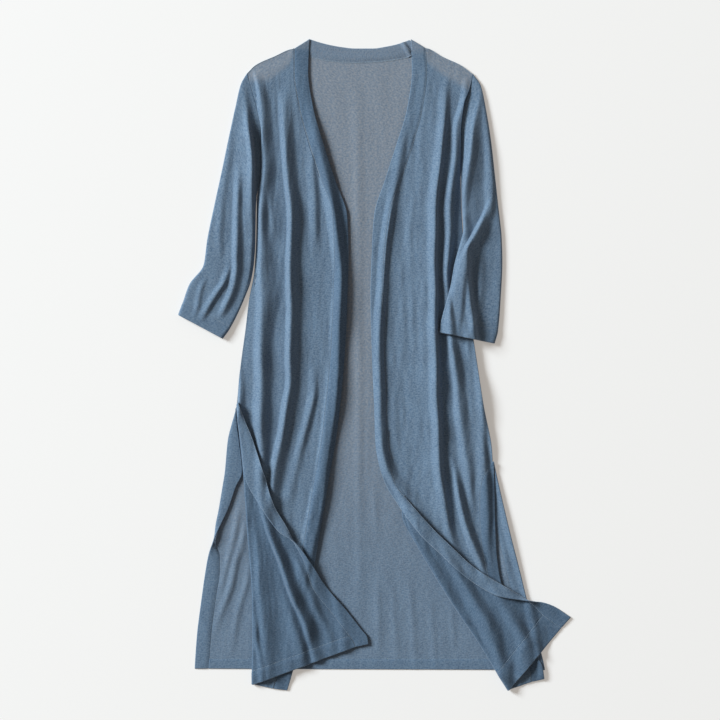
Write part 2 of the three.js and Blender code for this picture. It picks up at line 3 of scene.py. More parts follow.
import bpy
import numpy as np
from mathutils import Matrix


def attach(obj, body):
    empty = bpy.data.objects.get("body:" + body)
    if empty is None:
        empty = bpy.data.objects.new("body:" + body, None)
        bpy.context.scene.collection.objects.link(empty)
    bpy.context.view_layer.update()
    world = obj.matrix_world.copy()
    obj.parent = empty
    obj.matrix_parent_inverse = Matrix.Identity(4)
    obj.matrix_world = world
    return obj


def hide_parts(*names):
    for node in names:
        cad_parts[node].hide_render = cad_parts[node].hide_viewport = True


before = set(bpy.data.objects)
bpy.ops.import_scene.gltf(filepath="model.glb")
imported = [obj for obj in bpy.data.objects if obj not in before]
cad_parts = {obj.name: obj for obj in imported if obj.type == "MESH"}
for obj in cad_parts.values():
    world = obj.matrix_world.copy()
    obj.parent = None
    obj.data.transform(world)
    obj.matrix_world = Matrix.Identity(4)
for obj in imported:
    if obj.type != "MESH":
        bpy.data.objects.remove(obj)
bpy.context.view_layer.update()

# The camera looks straight down on the cardigan from 4.5 m through a long lens, and its view is
# 1.2 m wide.
lens = bpy.data.cameras.new("camera")
lens.lens = 135
lens.sensor_width = 36
camera = bpy.data.objects.new("camera", lens)
camera.location = (-0.0239, 0.0080, 4.5)
bpy.context.scene.collection.objects.link(camera)
bpy.context.scene.camera = camera

# The back panel: one piece of fine single jersey in a heathered blue viscose yarn, cut with the
# armholes, the shoulders and the neck curve. It lies on the surface with its inside up, pressed down
# the middle, and shows between the two open fronts and in the side slits.

# Walls, the gap at a seam, and the hem. In all tables d is the distance down from the neck points,
# which are at NECK_Y: the armholes end at ARMHOLE, and the slits begin at RIGHT_SLIT and LEFT_SLIT.
KNIT = 1.2
DOUBLED = 2.0
SEAM = 0.3
HEM = 24
NECK_Y = 540
LENGTH = 1080
ARMHOLE = 230
RIGHT_SLIT = 605
LEFT_SLIT = 700
# The shift that puts the middle of the part on the origin.
MIDDLE = (-0.599, 1.293)


def curve(rows):
    """A smooth curve through the rows of a table by their first column, which never swings past them."""
    table = np.array(rows, float)
    at, values = table[:, 0], table[:, 1:]
    gap = np.diff(at)[:, None]
    rise = np.diff(values, axis=0) / gap
    slope = np.vstack([rise[:1], np.zeros_like(rise[1:]), rise[-1:]])
    same = rise[:-1] * rise[1:] > 0
    total = np.where(same, rise[:-1] + rise[1:], 1)
    slope[1:-1] = np.where(same, 2 * rise[:-1] * rise[1:] / total, 0)

    def read(where):
        t = np.clip(np.asarray(where, float), at[0], at[-1])
        i = np.clip(np.searchsorted(at, t) - 1, 0, len(at) - 2)
        s = ((t - at[i]) / gap[i, 0])[..., None]
        bend = s * (1 - s) * gap[i]
        p, q = values[i], values[i + 1]
        out = p + (q - p) * s * s * (3 - 2 * s)
        out = out + bend * ((1 - s) * slope[i] - s * slope[i + 1])
        return np.moveaxis(out, -1, 0)

    return read


def ease(t):
    """A soft step from 0 to 1."""
    s = np.clip(t, 0, 1)
    return s * s * (3 - 2 * s)


def mix(a, b, t):
    """From a at 0 to b at 1."""
    return a + (b - a) * t


def relief(*folds):
    """The height that folds add at a place. Rows of a fold: d, x of the crest, its width to the left and
    to the right, its height. Crests wander a little, and rise and sink on their way."""
    lines = [curve(fold) for fold in folds]

    def height(x, y):
        d = NECK_Y - y
        total = np.zeros(np.broadcast(x, y).shape)
        for k, line in enumerate(lines):
            crest, left, right, high = line(d)
            crest = crest + 0.9 * np.sin(d / (15 + 2.3 * k) + 2 * k) * np.minimum(np.abs(high) / 6, 1)
            high = high * (1 + 0.09 * np.sin(d / (11 + 1.7 * k) + k))
            t = np.minimum(np.abs(x - crest) / np.where(x < crest, left, right), 1)
            total += high * (1 - t**1.7) ** 2.2
        return total

    return height


def rippled(x, y, across, down, seed):
    """Soft unevenness of the cloth from 0 to 1, in waves about so wide and long, which wander."""
    dice = np.random.default_rng(seed)
    waves = 7
    total = 0
    for _ in range(waves):
        wide = across * dice.uniform(0.6, 1.8)
        long = down * dice.uniform(0.6, 1.8)
        a, b, c = dice.uniform(0, 2 * math.pi, 3)
        sway = 0.9 * np.sin(2 * math.pi * y / (1.7 * long) + a)
        sway = sway + 0.5 * np.sin(2 * math.pi * x / (3 * wide) + c)
        wave = np.sin(2 * math.pi * x / wide + sway + b)
        total = total + wave * np.cos(2 * math.pi * y / long + c + 0.4 * sway)
    return 0.5 + np.clip(total / waves, -0.5, 0.5)


# Shoulders and back neck seam: x, y.
top_edge = curve([
    [-211, 484],
    [-197, 497.5],
    [-167, 511.5],
    [-133, 524.5],
    [-103, 511],
    [-67, 504],
    [-35, 502],
    [-2, 503],
    [30, 506],
    [60, 512],
    [86, 525.5],
    [115, 511],
    [145, 497],
    [165, 482],
])
# Armholes and side seams: d, x, y.
right_side = curve([
    [0, -211, 484],
    [26, -205, 460],
    [53, -197, 433],
    [113, -187, 380],
    [177, -187, 320],
    [230, -195, 275],
    [292, -196, 215],
    [358, -199, 157],
    [427, -208, 107],
    [483, -214, 57],
    [545, -222, -2],
    [612, -229, -72],
])
left_side = curve([
    [0, 165, 482],
    [26, 159, 458],
    [53, 150, 433],
    [113, 144, 380],
    [177, 144, 320],
    [230, 145, 275],
    [292, 148, 215],
    [358, 152, 157],
    [427, 157, 107],
    [483, 163, 57],
    [545, 172, -2],
    [612, 182, -68],
    [672, 195, -132],
    [700, 199, -163],
])
# The back's slit bands: d, seam edge x, y, free edge x, y, layer, how high the free edge stands.
# Layer 2 is turned over.
right_back_slit = curve([
    [612, -229, -72, -230, -76, 1, 0],
    [640, -236, -98, -229, -100, 2, 0],
    [672, -243, -127, -225.5, -127, 2, 0],
    [725, -248, -180, -220, -180, 2, 0],
    [750, -252, -205, -230.5, -204, 2, 0],
    [787, -258, -241, -243, -240, 2, 0],
    [815, -264, -272, -257, -270, 2, 1],
    [835, -266, -294, -267, -294, 1.5, 5],
    [858, -257, -320, -275, -318, 1, 1],
    [885, -257, -345, -280, -345, 1, 0],
    [927, -263, -387, -286, -387, 1, 0],
    [1000, -271, -450, -294, -450, 1, 0],
    [1056, -274, -490, -297, -490, 1, 0],
    [1080, -275, -507, -298, -507, 1, 0],
])
left_back_slit = curve([
    [700, 197, -163, 199, -163, 1, 0],
    [735, 187, -195, 206, -195, 1, 0],
    [790, 196, -243, 217, -243, 1, 0],
    [845, 208, -293, 229, -293, 1, 0],
    [885, 220, -343, 242, -343, 1, 0],
    [927, 231, -388, 253, -388, 1, 0],
    [1000, 247, -450, 269, -450, 1, 0],
    [1056, 258, -490, 280, -490, 1, 0],
    [1080, 262, -509, 284, -509, 1, 0],
])
back_folds = relief(
    [[60, -30, 16, 16, 0], [200, -27, 14, 14, 0.9], [700, -25, 12, 12, 0.9], [1000, -24, 14, 14, 0]],
    [[120, -96, 10, 12, 0], [190, -90, 10, 12, 0.5], [300, -84, 10, 10, 0]],
    [[620, -8, 7, 7, 0], [680, -10, 7, 7, 0.5], [760, -12, 7, 7, 0]],
    [[720, -2, 7, 8, 0], [780, 2, 8, 8, 0.7], [850, 6, 8, 8, 0]],
    [[880, 2, 9, 10, 0], [930, 6, 9, 10, 0.9], [1000, 8, 9, 10, 0.7], [1050, 8, 9, 9, 0]],
    [[900, 30, 8, 10, 0], [950, 32, 9, 10, 1.1], [1010, 36, 8, 9, 0.6], [1050, 37, 8, 9, 0]],
    [[890, 56, 8, 9, 0], [940, 62, 9, 9, 0.9], [1000, 66, 9, 9, 1.0], [1052, 70, 8, 9, 0.2]],
    [[920, 92, 8, 9, 0], [970, 96, 9, 10, 0.9], [1020, 100, 9, 9, 0.7], [1052, 102, 8, 9, 0]],
    [[930, 128, 8, 8, 0], [980, 131, 8, 9, 0.8], [1030, 134, 8, 8, 0]],
    [[835, 212, 9, 9, 0], [870, 219, 10, 10, 1.8], [905, 227, 9, 9, 0]],
    [[330, 152, 12, 12, 0], [400, 157, 12, 12, 3.5], [483, 165, 12, 12, 4.5], [612, 184, 12, 12, 4.5],
     [700, 201, 12, 12, 4.5], [790, 219, 12, 12, 4.5], [927, 255, 12, 12, 4], [1000, 270, 12, 12, 3.5],
     [1080, 285, 12, 12, 2]],
    [[770, -224, 6, 6, 0], [812, -230, 8, 8, 2], [860, -241, 9, 8, 2.2], [900, -251, 9, 8, 1.6],
     [940, -258, 8, 8, 0]],
    [[790, -212, 6, 6, 0], [836, -219, 8, 8, 2], [867, -230, 10, 9, 2.6], [908, -238, 11, 9, 3],
     [942, -250, 11, 9, 2.6], [967, -259, 10, 9, 1.5], [1000, -266, 9, 9, 0]],
    [[860, -206, 8, 8, 0], [908, -213, 9, 8, 1.8], [933, -221, 10, 9, 2], [967, -229, 10, 9, 1.8],
     [1000, -234, 10, 9, 0.8], [1030, -238, 9, 9, 0]],
)


def back_z(x, y):
    """The height of the middle of the back's wall, with soft waves between its neck and its hem."""
    lively = ease((NECK_Y - y - 20) / 60) * (1 - ease((NECK_Y - y - 1030) / 25))
    return KNIT / 2 + back_folds(x, y) + 0.55 * lively * rippled(x, y, 34, 170, 4)


def in_order(*parts):
    """Rows from several ranges: each part is first, last and the distance between rows."""
    made = [np.linspace(a, b, max(int(round((b - a) / step)), 1) + 1) for a, b, step in parts]
    return np.unique(np.concatenate(made))


def near_edges(grid, axis):
    """The same grid with one more row just inside both ends, so that only the rim itself looks round."""
    first, second = np.take(grid, [0], axis), np.take(grid, [1], axis)
    last, before = np.take(grid, [-1], axis), np.take(grid, [-2], axis)
    middle = np.take(grid, range(1, grid.shape[axis] - 1), axis)
    return np.concatenate([first, mix(first, second, 0.12), middle, mix(last, before, 0.12), last], axis)


def rim_loops(count, wide, ring):
    """Rows and columns of the points round each rim: the two ends of a tube, or a sheet's one outline."""
    if ring:
        return [
            (np.zeros(wide + 1, int), np.arange(wide + 1)),
            (np.full(wide + 1, count - 1), np.arange(wide, -1, -1)),
        ]
    end, side = np.arange(wide - 1), np.arange(count - 1)
    r = np.concatenate([0 * end, side, 0 * end + count - 1, count - 1 - side, [0]])
    c = np.concatenate([end, 0 * side + wide - 1, wide - 1 - end, 0 * side, [0]])
    return [(r, c)]


def shell(grid, wall, ring):
    """A closed shell with rounded rims about a grid. Gives its upper, lower and rim points, its faces, and
    the grid's row and column at each corner of them. A doubled wall keeps the knit's under face."""
    count, wide = grid.shape[:2]
    across = np.roll(grid, -1, 1) - np.roll(grid, 1, 1) if ring else np.gradient(grid, axis=1)
    normal = np.cross(across, np.gradient(grid, axis=0))
    normal /= np.linalg.norm(normal, axis=2, keepdims=True)
    up = np.maximum(wall - KNIT, 0) / 2 * normal[..., 2:]
    upper = grid + normal * (wall / 2 + up)
    lower = grid + normal * (up - wall / 2)

    def number(r, c):
        """The number of the upper point at a row and a column."""
        return r * wide + c % wide

    i, j = np.mgrid[0 : count - 1, 0 : wide if ring else wide - 1].reshape(2, -1)
    squares = [np.stack(q, 1) for q in ([i, i, i + 1, i + 1], [j, j + 1, j + 1, j])]
    turned = [q[:, ::-1] for q in squares]
    under = count * wide
    faces = [number(*squares), number(*turned) + under]
    corners = [squares, turned]
    rims = []
    base = 2 * under
    for r, c in rim_loops(count, wide, ring):
        inner_r = np.clip(r, 1, count - 2)
        inner_c = c % wide if ring else np.clip(c, 1, wide - 2)
        out = grid[r, c % wide] - grid[inner_r, inner_c]
        out /= np.maximum(np.linalg.norm(out, axis=1, keepdims=True), 1e-6)
        middle = (upper[r, c % wide] + lower[r, c % wide]) / 2 + out * wall[r, c % wide] * 0.42
        rims.append(middle[:-1])
        n = len(r) - 1
        here = base + np.arange(n)
        there = base + (np.arange(n) + 1) % n
        a, b = number(r, c)[:-1], number(r, c)[1:]
        rim_corners = [np.stack([q[1:], q[:-1], q[:-1], q[1:]], 1) for q in (r, c)]
        for four in ((b, a, here, there), (there, here, a + under, b + under)):
            faces.append(np.stack(four, 1))
            corners.append(rim_corners)
        base += n
    return upper, lower, rims, faces, corners


def cloth(name, rows, wall, looks, sheer=0, ring=False):
    """A piece of cloth on a grid of points, rows down and columns across it. Sheer is how far the surface
    shows through, a number or a function of x and y. Gives the object and the points of its top face."""
    grid = np.asarray(rows, float)
    wall = np.broadcast_to(wall, grid.shape[:2])[..., None]
    for axis in (0,) if ring else (0, 1):
        grid, wall = near_edges(grid, axis), near_edges(wall, axis)
    count, wide = grid.shape[:2]
    upper, lower, rims, faces, corners = shell(grid, wall, ring)
    points = np.concatenate([upper.reshape(-1, 3), lower.reshape(-1, 3), *rims])
    points = (points + [MIDDLE[0], MIDDLE[1], 0]) / 1000
    quads = np.concatenate(faces)
    mesh = bpy.data.meshes.new(name)
    mesh.from_pydata(points, [], quads)
    # The knit follows the cloth: the distance across it and the distance down it, in metres.
    steps = np.linalg.norm(np.diff(grid, axis=1, append=grid[:, :1]), axis=2)
    around = np.concatenate([np.zeros((count, 1)), np.cumsum(steps, axis=1)], 1)
    drops = np.linalg.norm(np.diff(grid[:, wide // 3], axis=0), axis=1)
    down = np.concatenate([[0], np.cumsum(drops)])
    r = np.concatenate([q[0] for q in corners])
    c = np.concatenate([q[1] for q in corners])
    along_cloth = np.stack([around[r, c], down[r]], 2) / 1000
    mesh.uv_layers.new(name="cloth").data.foreach_set("uv", along_cloth.ravel())
    shown = sheer(grid[..., 0], grid[..., 1]) if callable(sheer) else sheer
    shown = np.broadcast_to(shown, (count, wide)).ravel()
    rim_shown = np.zeros(len(points) - 2 * count * wide)
    sheerness = mesh.attributes.new("sheerness", "FLOAT", "POINT")
    sheerness.data.foreach_set("value", np.concatenate([shown, shown, rim_shown]))
    for look in looks:
        mesh.materials.append(look)
    if len(looks) > 1:
        side = np.zeros(len(quads), int)
        side[len(faces[0]) : 2 * len(faces[0])] = 1
        mesh.polygons.foreach_set("material_index", side)
    mesh.shade_smooth()
    mesh.validate()
    made = bpy.data.objects.new(name + "_knit", mesh)
    bpy.context.scene.collection.objects.link(made)
    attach(made, "root")
    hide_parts(name)
    return made, np.where(upper[..., 2:] >= lower[..., 2:], upper, lower)


def group(name, kind, inputs, outputs):
    """An empty node group with its named inputs and outputs."""
    tree = bpy.data.node_groups.new(name, kind)
    for way, sockets in (("INPUT", inputs), ("OUTPUT", outputs)):
        for socket, of in sockets.items():
            tree.interface.new_socket(name=socket, in_out=way, socket_type="NodeSocket" + of)
    return tree


def feed(node, inputs):
    """Sets each input of a node to a value, or joins it to another node's output. Gives its outputs."""
    for key, value in inputs.items():
        if isinstance(value, bpy.types.NodeSocket):
            node.id_data.links.new(value, node.inputs[key])
        else:
            node.inputs[key].default_value = value
    return node.outputs


def knit_pattern():
    """The face of fine jersey: heathered yarn, slubs along the courses, rows of small V stitches."""
    tree = group(
        "heathered jersey", "ShaderNodeTree",
        {"Cloth": "Vector", "Sheerness": "Float", "Yarn": "Color", "Light fibre": "Color",
         "Sheer": "Color", "Heather": "Float", "Slub": "Float", "Wale": "Float", "Course": "Float"},
        {"Color": "Color", "Height": "Float", "Roughness": "Float"},
    )
    new = tree.nodes.new
    given = new("NodeGroupInput").outputs

    def maths(how, *inputs):
        node = new("ShaderNodeMath")
        node.operation = how
        return feed(node, dict(enumerate(inputs)))[0]

    def noise(scale, size, detail, rough):
        stretched = feed(new("ShaderNodeMapping"), {"Vector": given["Cloth"], "Scale": scale})[0]
        node = new("ShaderNodeTexNoise")
        node.noise_dimensions = "2D"
        grain = {"Vector": stretched, "Scale": size, "Detail": detail, "Roughness": rough}
        return feed(node, grain)["Fac"]

    def spread(value, low, high):
        return feed(new("ShaderNodeMapRange"), {"Value": value, "From Min": low, "From Max": high})[0]

    def blend(amount, one, two, how="MIX"):
        node = new("ShaderNodeMix")
        node.data_type = "RGBA"
        node.blend_type = how
        return feed(node, {"Factor": amount, "A": one, "B": two})["Result"]

    fleck = spread(noise((0.9, 1, 1), 430, 3, 0.65), 0.36, 0.68)
    slub = spread(noise((0.22, 1, 1), 640, 2, 0.6), 0.38, 0.70)
    cloud = spread(noise((1, 0.55, 1), 60, 4, 0.62), 0.36, 0.66)
    fine = spread(noise((0.8, 1, 1), 320, 3, 0.65), 0.34, 0.68)
    crinkle = maths("MULTIPLY", noise((1, 0.55, 1), 120, 4, 0.55), 2.4)
    # The yarn's tone: darker in patches, then lighter at flecks and slubs.
    shade = maths("ADD", maths("MULTIPLY", cloud, 0.34), maths("MULTIPLY", fine, 0.32))
    dark = blend(shade, given["Yarn"], (0.42, 0.50, 0.58, 1), "MULTIPLY")
    tinted = blend(maths("MULTIPLY", fleck, given["Heather"]), dark, given["Light fibre"])
    streaked = blend(maths("MULTIPLY", slub, given["Slub"]), tinted, given["Light fibre"])
    # The greyer tone of a single layer that the pale surface shows through, uneven too.
    patchy = maths("MULTIPLY", given["Sheerness"], maths("ADD", maths("MULTIPLY", fine, 0.7), 0.42))
    gaps = maths("MULTIPLY", maths("SUBTRACT", 1, fine), 0.5)
    veil = blend(gaps, given["Sheer"], (0.60, 0.65, 0.70, 1), "MULTIPLY")
    thin = blend(maths("MINIMUM", patchy, 1.0), streaked, veil)
    # The V stitches of the knit: two legs to a wale, one turn of both to a course.
    place = feed(new("ShaderNodeSeparateXYZ"), {0: given["Cloth"]})
    across = maths("FRACT", maths("DIVIDE", place["X"], given["Wale"]))
    leg = maths("ABSOLUTE", maths("SUBTRACT", maths("MULTIPLY", across, 2), 1))
    down = maths("DIVIDE", place["Y"], given["Course"])
    turn = maths("ADD", down, maths("MULTIPLY", leg, 0.5))
    loops = maths("COSINE", maths("MULTIPLY", turn, 2 * math.pi))
    rib = maths("SUBTRACT", 1, maths("POWER", leg, 4))
    stitch = maths("MULTIPLY", rib, maths("ADD", maths("MULTIPLY", loops, 0.3), 0.7))
    height = maths("ADD", maths("MULTIPLY", stitch, 0.5), maths("MULTIPLY", slub, 0.35))
    yarns = maths("ADD", height, maths("MULTIPLY", fleck, 0.25))
    feed(new("NodeGroupOutput"), {
        "Color": thin,
        "Height": maths("ADD", yarns, crinkle),
        "Roughness": maths("SUBTRACT", 0.92, maths("MULTIPLY", slub, 0.12)),
    })
    return tree


def knit(name, yarn, light, heather, slub):
    """A knit finish of one yarn with its lighter fibres, and how much of them it shows."""
    look = bpy.data.materials.new(name)
    look.use_nodes = True
    new = look.node_tree.nodes.new
    along = new("ShaderNodeUVMap")
    along.uv_map = "cloth"
    shown = new("ShaderNodeAttribute")
    shown.attribute_name = "sheerness"
    face = new("ShaderNodeGroup")
    face.node_tree = jersey_face
    seen = feed(face, {
        "Cloth": along.outputs[0], "Sheerness": shown.outputs["Fac"], "Yarn": (*yarn, 1),
        "Light fibre": (*light, 1), "Sheer": (*TAUPE, 1), "Heather": heather, "Slub": slub,
        "Wale": 0.0014, "Course": 0.0011,
    })
    raised = {"Strength": 0.35, "Distance": 0.0005, "Height": seen["Height"]}
    feed(look.node_tree.nodes["Principled BSDF"], {
        "Base Color": seen["Color"], "Roughness": seen["Roughness"],
        "Normal": feed(new("ShaderNodeBump"), raised)[0], "Sheen Weight": 0.36, "Sheen Roughness": 0.45,
        "Sheen Tint": (0.84, 0.90, 1, 1), "Specular IOR Level": 0.28,
    })
    return look


jersey_face = knit_pattern()
DENIM = (0.069, 0.127, 0.203)
PALE = (0.238, 0.314, 0.402)
TAUPE = (0.214, 0.241, 0.280)
outside = knit("jersey outside", DENIM, PALE, heather=0.36, slub=0.26)
inside = knit("jersey inside", (0.088, 0.140, 0.205), (0.23, 0.27, 0.31), heather=0.46, slub=0.38)
doubled = knit("doubled jersey", DENIM, PALE, heather=0.32, slub=0.22)
purl = knit("jersey purl side", (0.044, 0.090, 0.150), (0.155, 0.218, 0.300), heather=0.32, slub=0.26)


def bowed(spot_y, x0, chord, d):
    """Rows near the top follow the shoulders' curve, and lose it on the way down."""
    return spot_y + np.maximum(1 - d / 150, 0) ** 2 * (top_edge(x0)[0] - chord)


def edge_of(side, slit, slit_at, d):
    """A side's outline: down the armhole and side seam, then smoothly on to the slit's edge."""
    share = ease((d - slit_at + 30) / 30)
    return mix(np.stack(side(d)[:2]), np.stack(slit(np.maximum(d, slit_at))[:2]), share)


def back_rows(rows, columns=150):
    """Rows of the back from its right edge to its left one."""
    d = rows[:, None]
    q = np.linspace(0, 1, columns + 1)[None, :]
    right = edge_of(right_side, right_back_slit, RIGHT_SLIT, d)
    left = edge_of(left_side, left_back_slit, LEFT_SLIT, d)
    start, stop = right_side(0.0), left_side(0.0)
    x = mix(right[0] + SEAM, left[0] - SEAM, q)
    y = bowed(mix(right[1], left[1], q), mix(start[0], stop[0], q), mix(start[1], stop[1], q), d)
    return np.stack([x, y, back_z(x, y)], 2)


def back_sheerness(x, y):
    """The surface shows through the back at the top, and less and less on the way down."""
    d = NECK_Y - y
    return mix(0.97, 0.16, ease((d - 480) / 480)) * (1 - 0.25 * ease((d - 1000) / 50))


panel_end = LENGTH - HEM - SEAM / 2
hem_start = LENGTH - HEM + SEAM / 2
back_body = back_rows(in_order((0, 60, 4), (60, panel_end, 5)))
back_panel, back_face = cloth("back_panel", back_body, KNIT, [inside, outside], back_sheerness)

# The back's doubled edges: the hem turned up 24 mm, the facings of the two side slits, and the band
# round the neck, all the same jersey laid double and sewn down with one row of stitches.
# On top of another layer a band lies one turn of the cloth higher.
TURN = 3.2


def banded(table, rows, low, high, columns=8):
    """A band from its seam edge to its free edge, lying with its layer, a little fuller in the middle."""
    sx, sy, fx, fy, layer, stand = (v[:, None] for v in table(rows))
    gap = (SEAM + 0.04 * stand) / np.maximum(np.hypot(fx - sx, fy - sy), 8)
    s = mix(np.where(layer > 1.9, 0, gap), 1, np.linspace(0, 1, columns + 1)[None, :])
    x, y = mix(sx, fx, s), mix(sy, fy, s)
    flat = mix(low(x, y), high(x, y), np.minimum(layer, 1))
    z = flat + np.maximum(layer - 1, 0) * TURN + stand * s + 0.35 * np.sin(math.pi * s) ** 0.7
    return np.stack([x, y, z], 2)


def doubled_wall(steps, reach=2):
    """A doubled wall that is no thicker than the single knit at its seam, over so many steps."""
    return KNIT + (DOUBLED - KNIT) * ease(np.arange(steps) / reach)


def back_slit(name, table, from_d):
    """The facing of one of the back's slits, from its top to the hem."""
    rows = in_order((from_d, LENGTH, 4))
    made, face = cloth(name, banded(table, rows, back_z, back_z), doubled_wall(9)[None, :], [doubled])
    return made, face


back_hem_rows = back_rows(in_order((hem_start, LENGTH, 3)))
back_hem_band, back_hem_face = cloth("back_hem_band", back_hem_rows, doubled_wall(9)[:, None], [doubled])
back_slit_band_right, slit_face_right = back_slit("back_slit_band_right", right_back_slit, RIGHT_SLIT)
back_slit_band_left, slit_face_left = back_slit("back_slit_band_left", left_back_slit, LEFT_SLIT)
# The free edge of the neck band: x at the seam, x, y.
neck_edge = curve([
    [-131, -108, 541],
    [-104, -90, 535],
    [-67, -58, 528],
    [-35, -30, 525],
    [-2, -2, 525],
    [28, 20, 528],
    [58, 42, 533],
    [85, 61, 540],
])
neck_seam = back_rows(np.array([0.0]))[0]
neck_seam = neck_seam[(neck_seam[:, 0] > -131) & (neck_seam[:, 0] < 84)]
free_x, free_y = neck_edge(neck_seam[:, 0])
share = np.linspace(0, 1, 9)[None, :]
neck_x = mix(neck_seam[:, :1], free_x[:, None], share)
neck_y = mix(neck_seam[:, 1:2] + SEAM, free_y[:, None], share)
neck_pucker = relief([[0, 46, 7, 4, 3], [14, 54, 7, 3.5, 5], [26, 61, 6, 3, 3.5]])
neck_z = KNIT / 2 + 0.4 * np.sin(math.pi * share) ** 0.7 + neck_pucker(neck_x, neck_y)
neck_rows = np.stack([neck_x, neck_y, neck_z], 2)
back_neck_band, neck_face = cloth("back_neck_band", neck_rows, doubled_wall(9)[None, :], [doubled], 0.45)

# The stitches of the seams: a row of the same yarn over each band, hem, slit and sleeve hem seam, about
# ten to the inch, and the tighter linked seams of the armholes and shoulders, which stand up as a fine
# welt. They are beads of yarn laid along a line.


def stitch_tree():
    """Stitches along a line: small yarn beads laid end to end along it, each a little uneven."""
    tree = group(
        "seam stitches", "GeometryNodeTree",
        {"Geometry": "Geometry", "Pitch": "Float", "Stitch length": "Float", "Stitch width": "Float",
         "Seed": "Int", "Yarn": "Material"},
        {"Geometry": "Geometry"},
    )
    new = tree.nodes.new
    given = new("NodeGroupInput").outputs
    line = feed(new("GeometryNodeMeshToCurve"), {"Mesh": given["Geometry"]})["Curve"]
    resample = new("GeometryNodeResampleCurve")
    resample.mode = "LENGTH"
    spaced = feed(resample, {"Curve": line, "Length": given["Pitch"]})["Curve"]
    bead = feed(new("GeometryNodeMeshUVSphere"), {"Segments": 6, "Rings": 4, "Radius": 0.5})["Mesh"]
    width = given["Stitch width"]
    size = feed(new("ShaderNodeCombineXYZ"), {"X": width, "Y": width, "Z": given["Stitch length"]})[0]
    drawn = feed(new("GeometryNodeTransform"), {"Geometry": bead, "Scale": size})["Geometry"]
    align = new("FunctionNodeAlignRotationToVector")
    align.axis = "Z"
    turned = feed(align, {"Vector": new("GeometryNodeInputTangent").outputs[0]})["Rotation"]
    chance = new("FunctionNodeRandomValue")
    chance.data_type = "FLOAT"
    uneven = feed(chance, {2: 0.82, 3: 1.12, "Seed": given["Seed"]})[1]
    beads = {"Points": spaced, "Instance": drawn, "Rotation": turned, "Scale": uneven}
    laid = feed(new("GeometryNodeInstanceOnPoints"), beads)["Instances"]
    real = feed(new("GeometryNodeRealizeInstances"), {"Geometry": laid})["Geometry"]
    finish = feed(new("GeometryNodeSetMaterial"), {"Geometry": real, "Material": given["Yarn"]})
    feed(new("NodeGroupOutput"), {"Geometry": finish["Geometry"]})
    return tree


def seam_yarn(name, low, high):
    """The yarn of a seam, uneven in tone between a low and a high one."""
    yarn = bpy.data.materials.new(name)
    yarn.use_nodes = True
    new = yarn.node_tree.nodes.new
    place = new("ShaderNodeTexCoord").outputs["Object"]
    tone = new("ShaderNodeMix")
    tone.data_type = "RGBA"
    uneven = feed(new("ShaderNodeTexNoise"), {"Vector": place, "Scale": 900})["Fac"]
    feed(yarn.node_tree.nodes["Principled BSDF"], {
        "Base Color": feed(tone, {"Factor": uneven, "A": low, "B": high})["Result"],
        "Roughness": 0.85, "Specular IOR Level": 0.25,
    })
    return yarn


seam_stitches = stitch_tree()
pale_yarn = seam_yarn("seam yarn", (0.14, 0.20, 0.275, 1), (0.33, 0.405, 0.485, 1))
# A near-black yarn whose beads paint the shade of a crease beside the armhole seam.
shade_bead_yarn = seam_yarn("painted crease shade yarn", (0.018, 0.038, 0.072, 1), (0.05, 0.085, 0.135, 1))
# How far the middle of a stitch stands above the cloth.
LIFT = 0.12


def sewn(name, lines, pitch=2.5, length=2.1, width=0.62, seed=3, yarn=pale_yarn):
    """One object with the stitches of several seams, each a line of points in millimetres."""
    points, edges = [], []
    for line in lines:
        start = len(points)
        points += list((line + [MIDDLE[0], MIDDLE[1], LIFT]) / 1000)
        edges += [(k, k + 1) for k in range(start, len(points) - 1)]
    mesh = bpy.data.meshes.new(name)
    mesh.from_pydata(points, edges, [])
    made = bpy.data.objects.new(name, mesh)
    bpy.context.scene.collection.objects.link(made)
    works = made.modifiers.new("stitches", "NODES")
    works.node_group = seam_stitches
    sockets = seam_stitches.interface.items_tree
    ids = {item.name: item.identifier for item in sockets if item.in_out == "INPUT"}
    works[ids["Pitch"]] = pitch / 1000
    works[ids["Stitch length"]] = length / 1000
    works[ids["Stitch width"]] = width / 1000
    works[ids["Seed"]] = seed
    works[ids["Yarn"]] = yarn
    bpy.context.view_layer.update()
    seen = made.evaluated_get(bpy.context.evaluated_depsgraph_get())
    plain = bpy.data.meshes.new_from_object(seen)
    made.modifiers.remove(works)
    made.data = plain
    plain.materials.clear()
    plain.materials.append(yarn)
    plain.polygons.foreach_set("material_index", np.zeros(len(plain.polygons), int))
    plain.shade_smooth()
    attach(made, "root")
    return made


neck_line = back_face[1][(back_face[1][:, 0] > -112) & (back_face[1][:, 0] < 66)]
back_stitches = sewn("back_stitches", [back_hem_face[1], slit_face_right[:, 1], slit_face_left[:, 1]])
neck_stitches = sewn("neck_stitches", [neck_line, neck_face[:, 1]], pitch=2.4, length=2.6, width=1.0)

# The two open fronts: one panel each of the same single jersey, outside up, sewn to the back at the
# shoulder and the side seam. They hang in long folds, and below the side slits each is turned over and
# lies on itself. Their hems are turned up 24 mm.

# How high a front lies on the back, how high where it is sewn to it, and the radius of a turned edge.
LAYER = 2.4
SEWN = 1.5
FOLD_R = 2.2
# The middle between the two shoulders, and y of the back's hem under the fronts.
CENTRE = -23
BACK_HEM_Y = -509
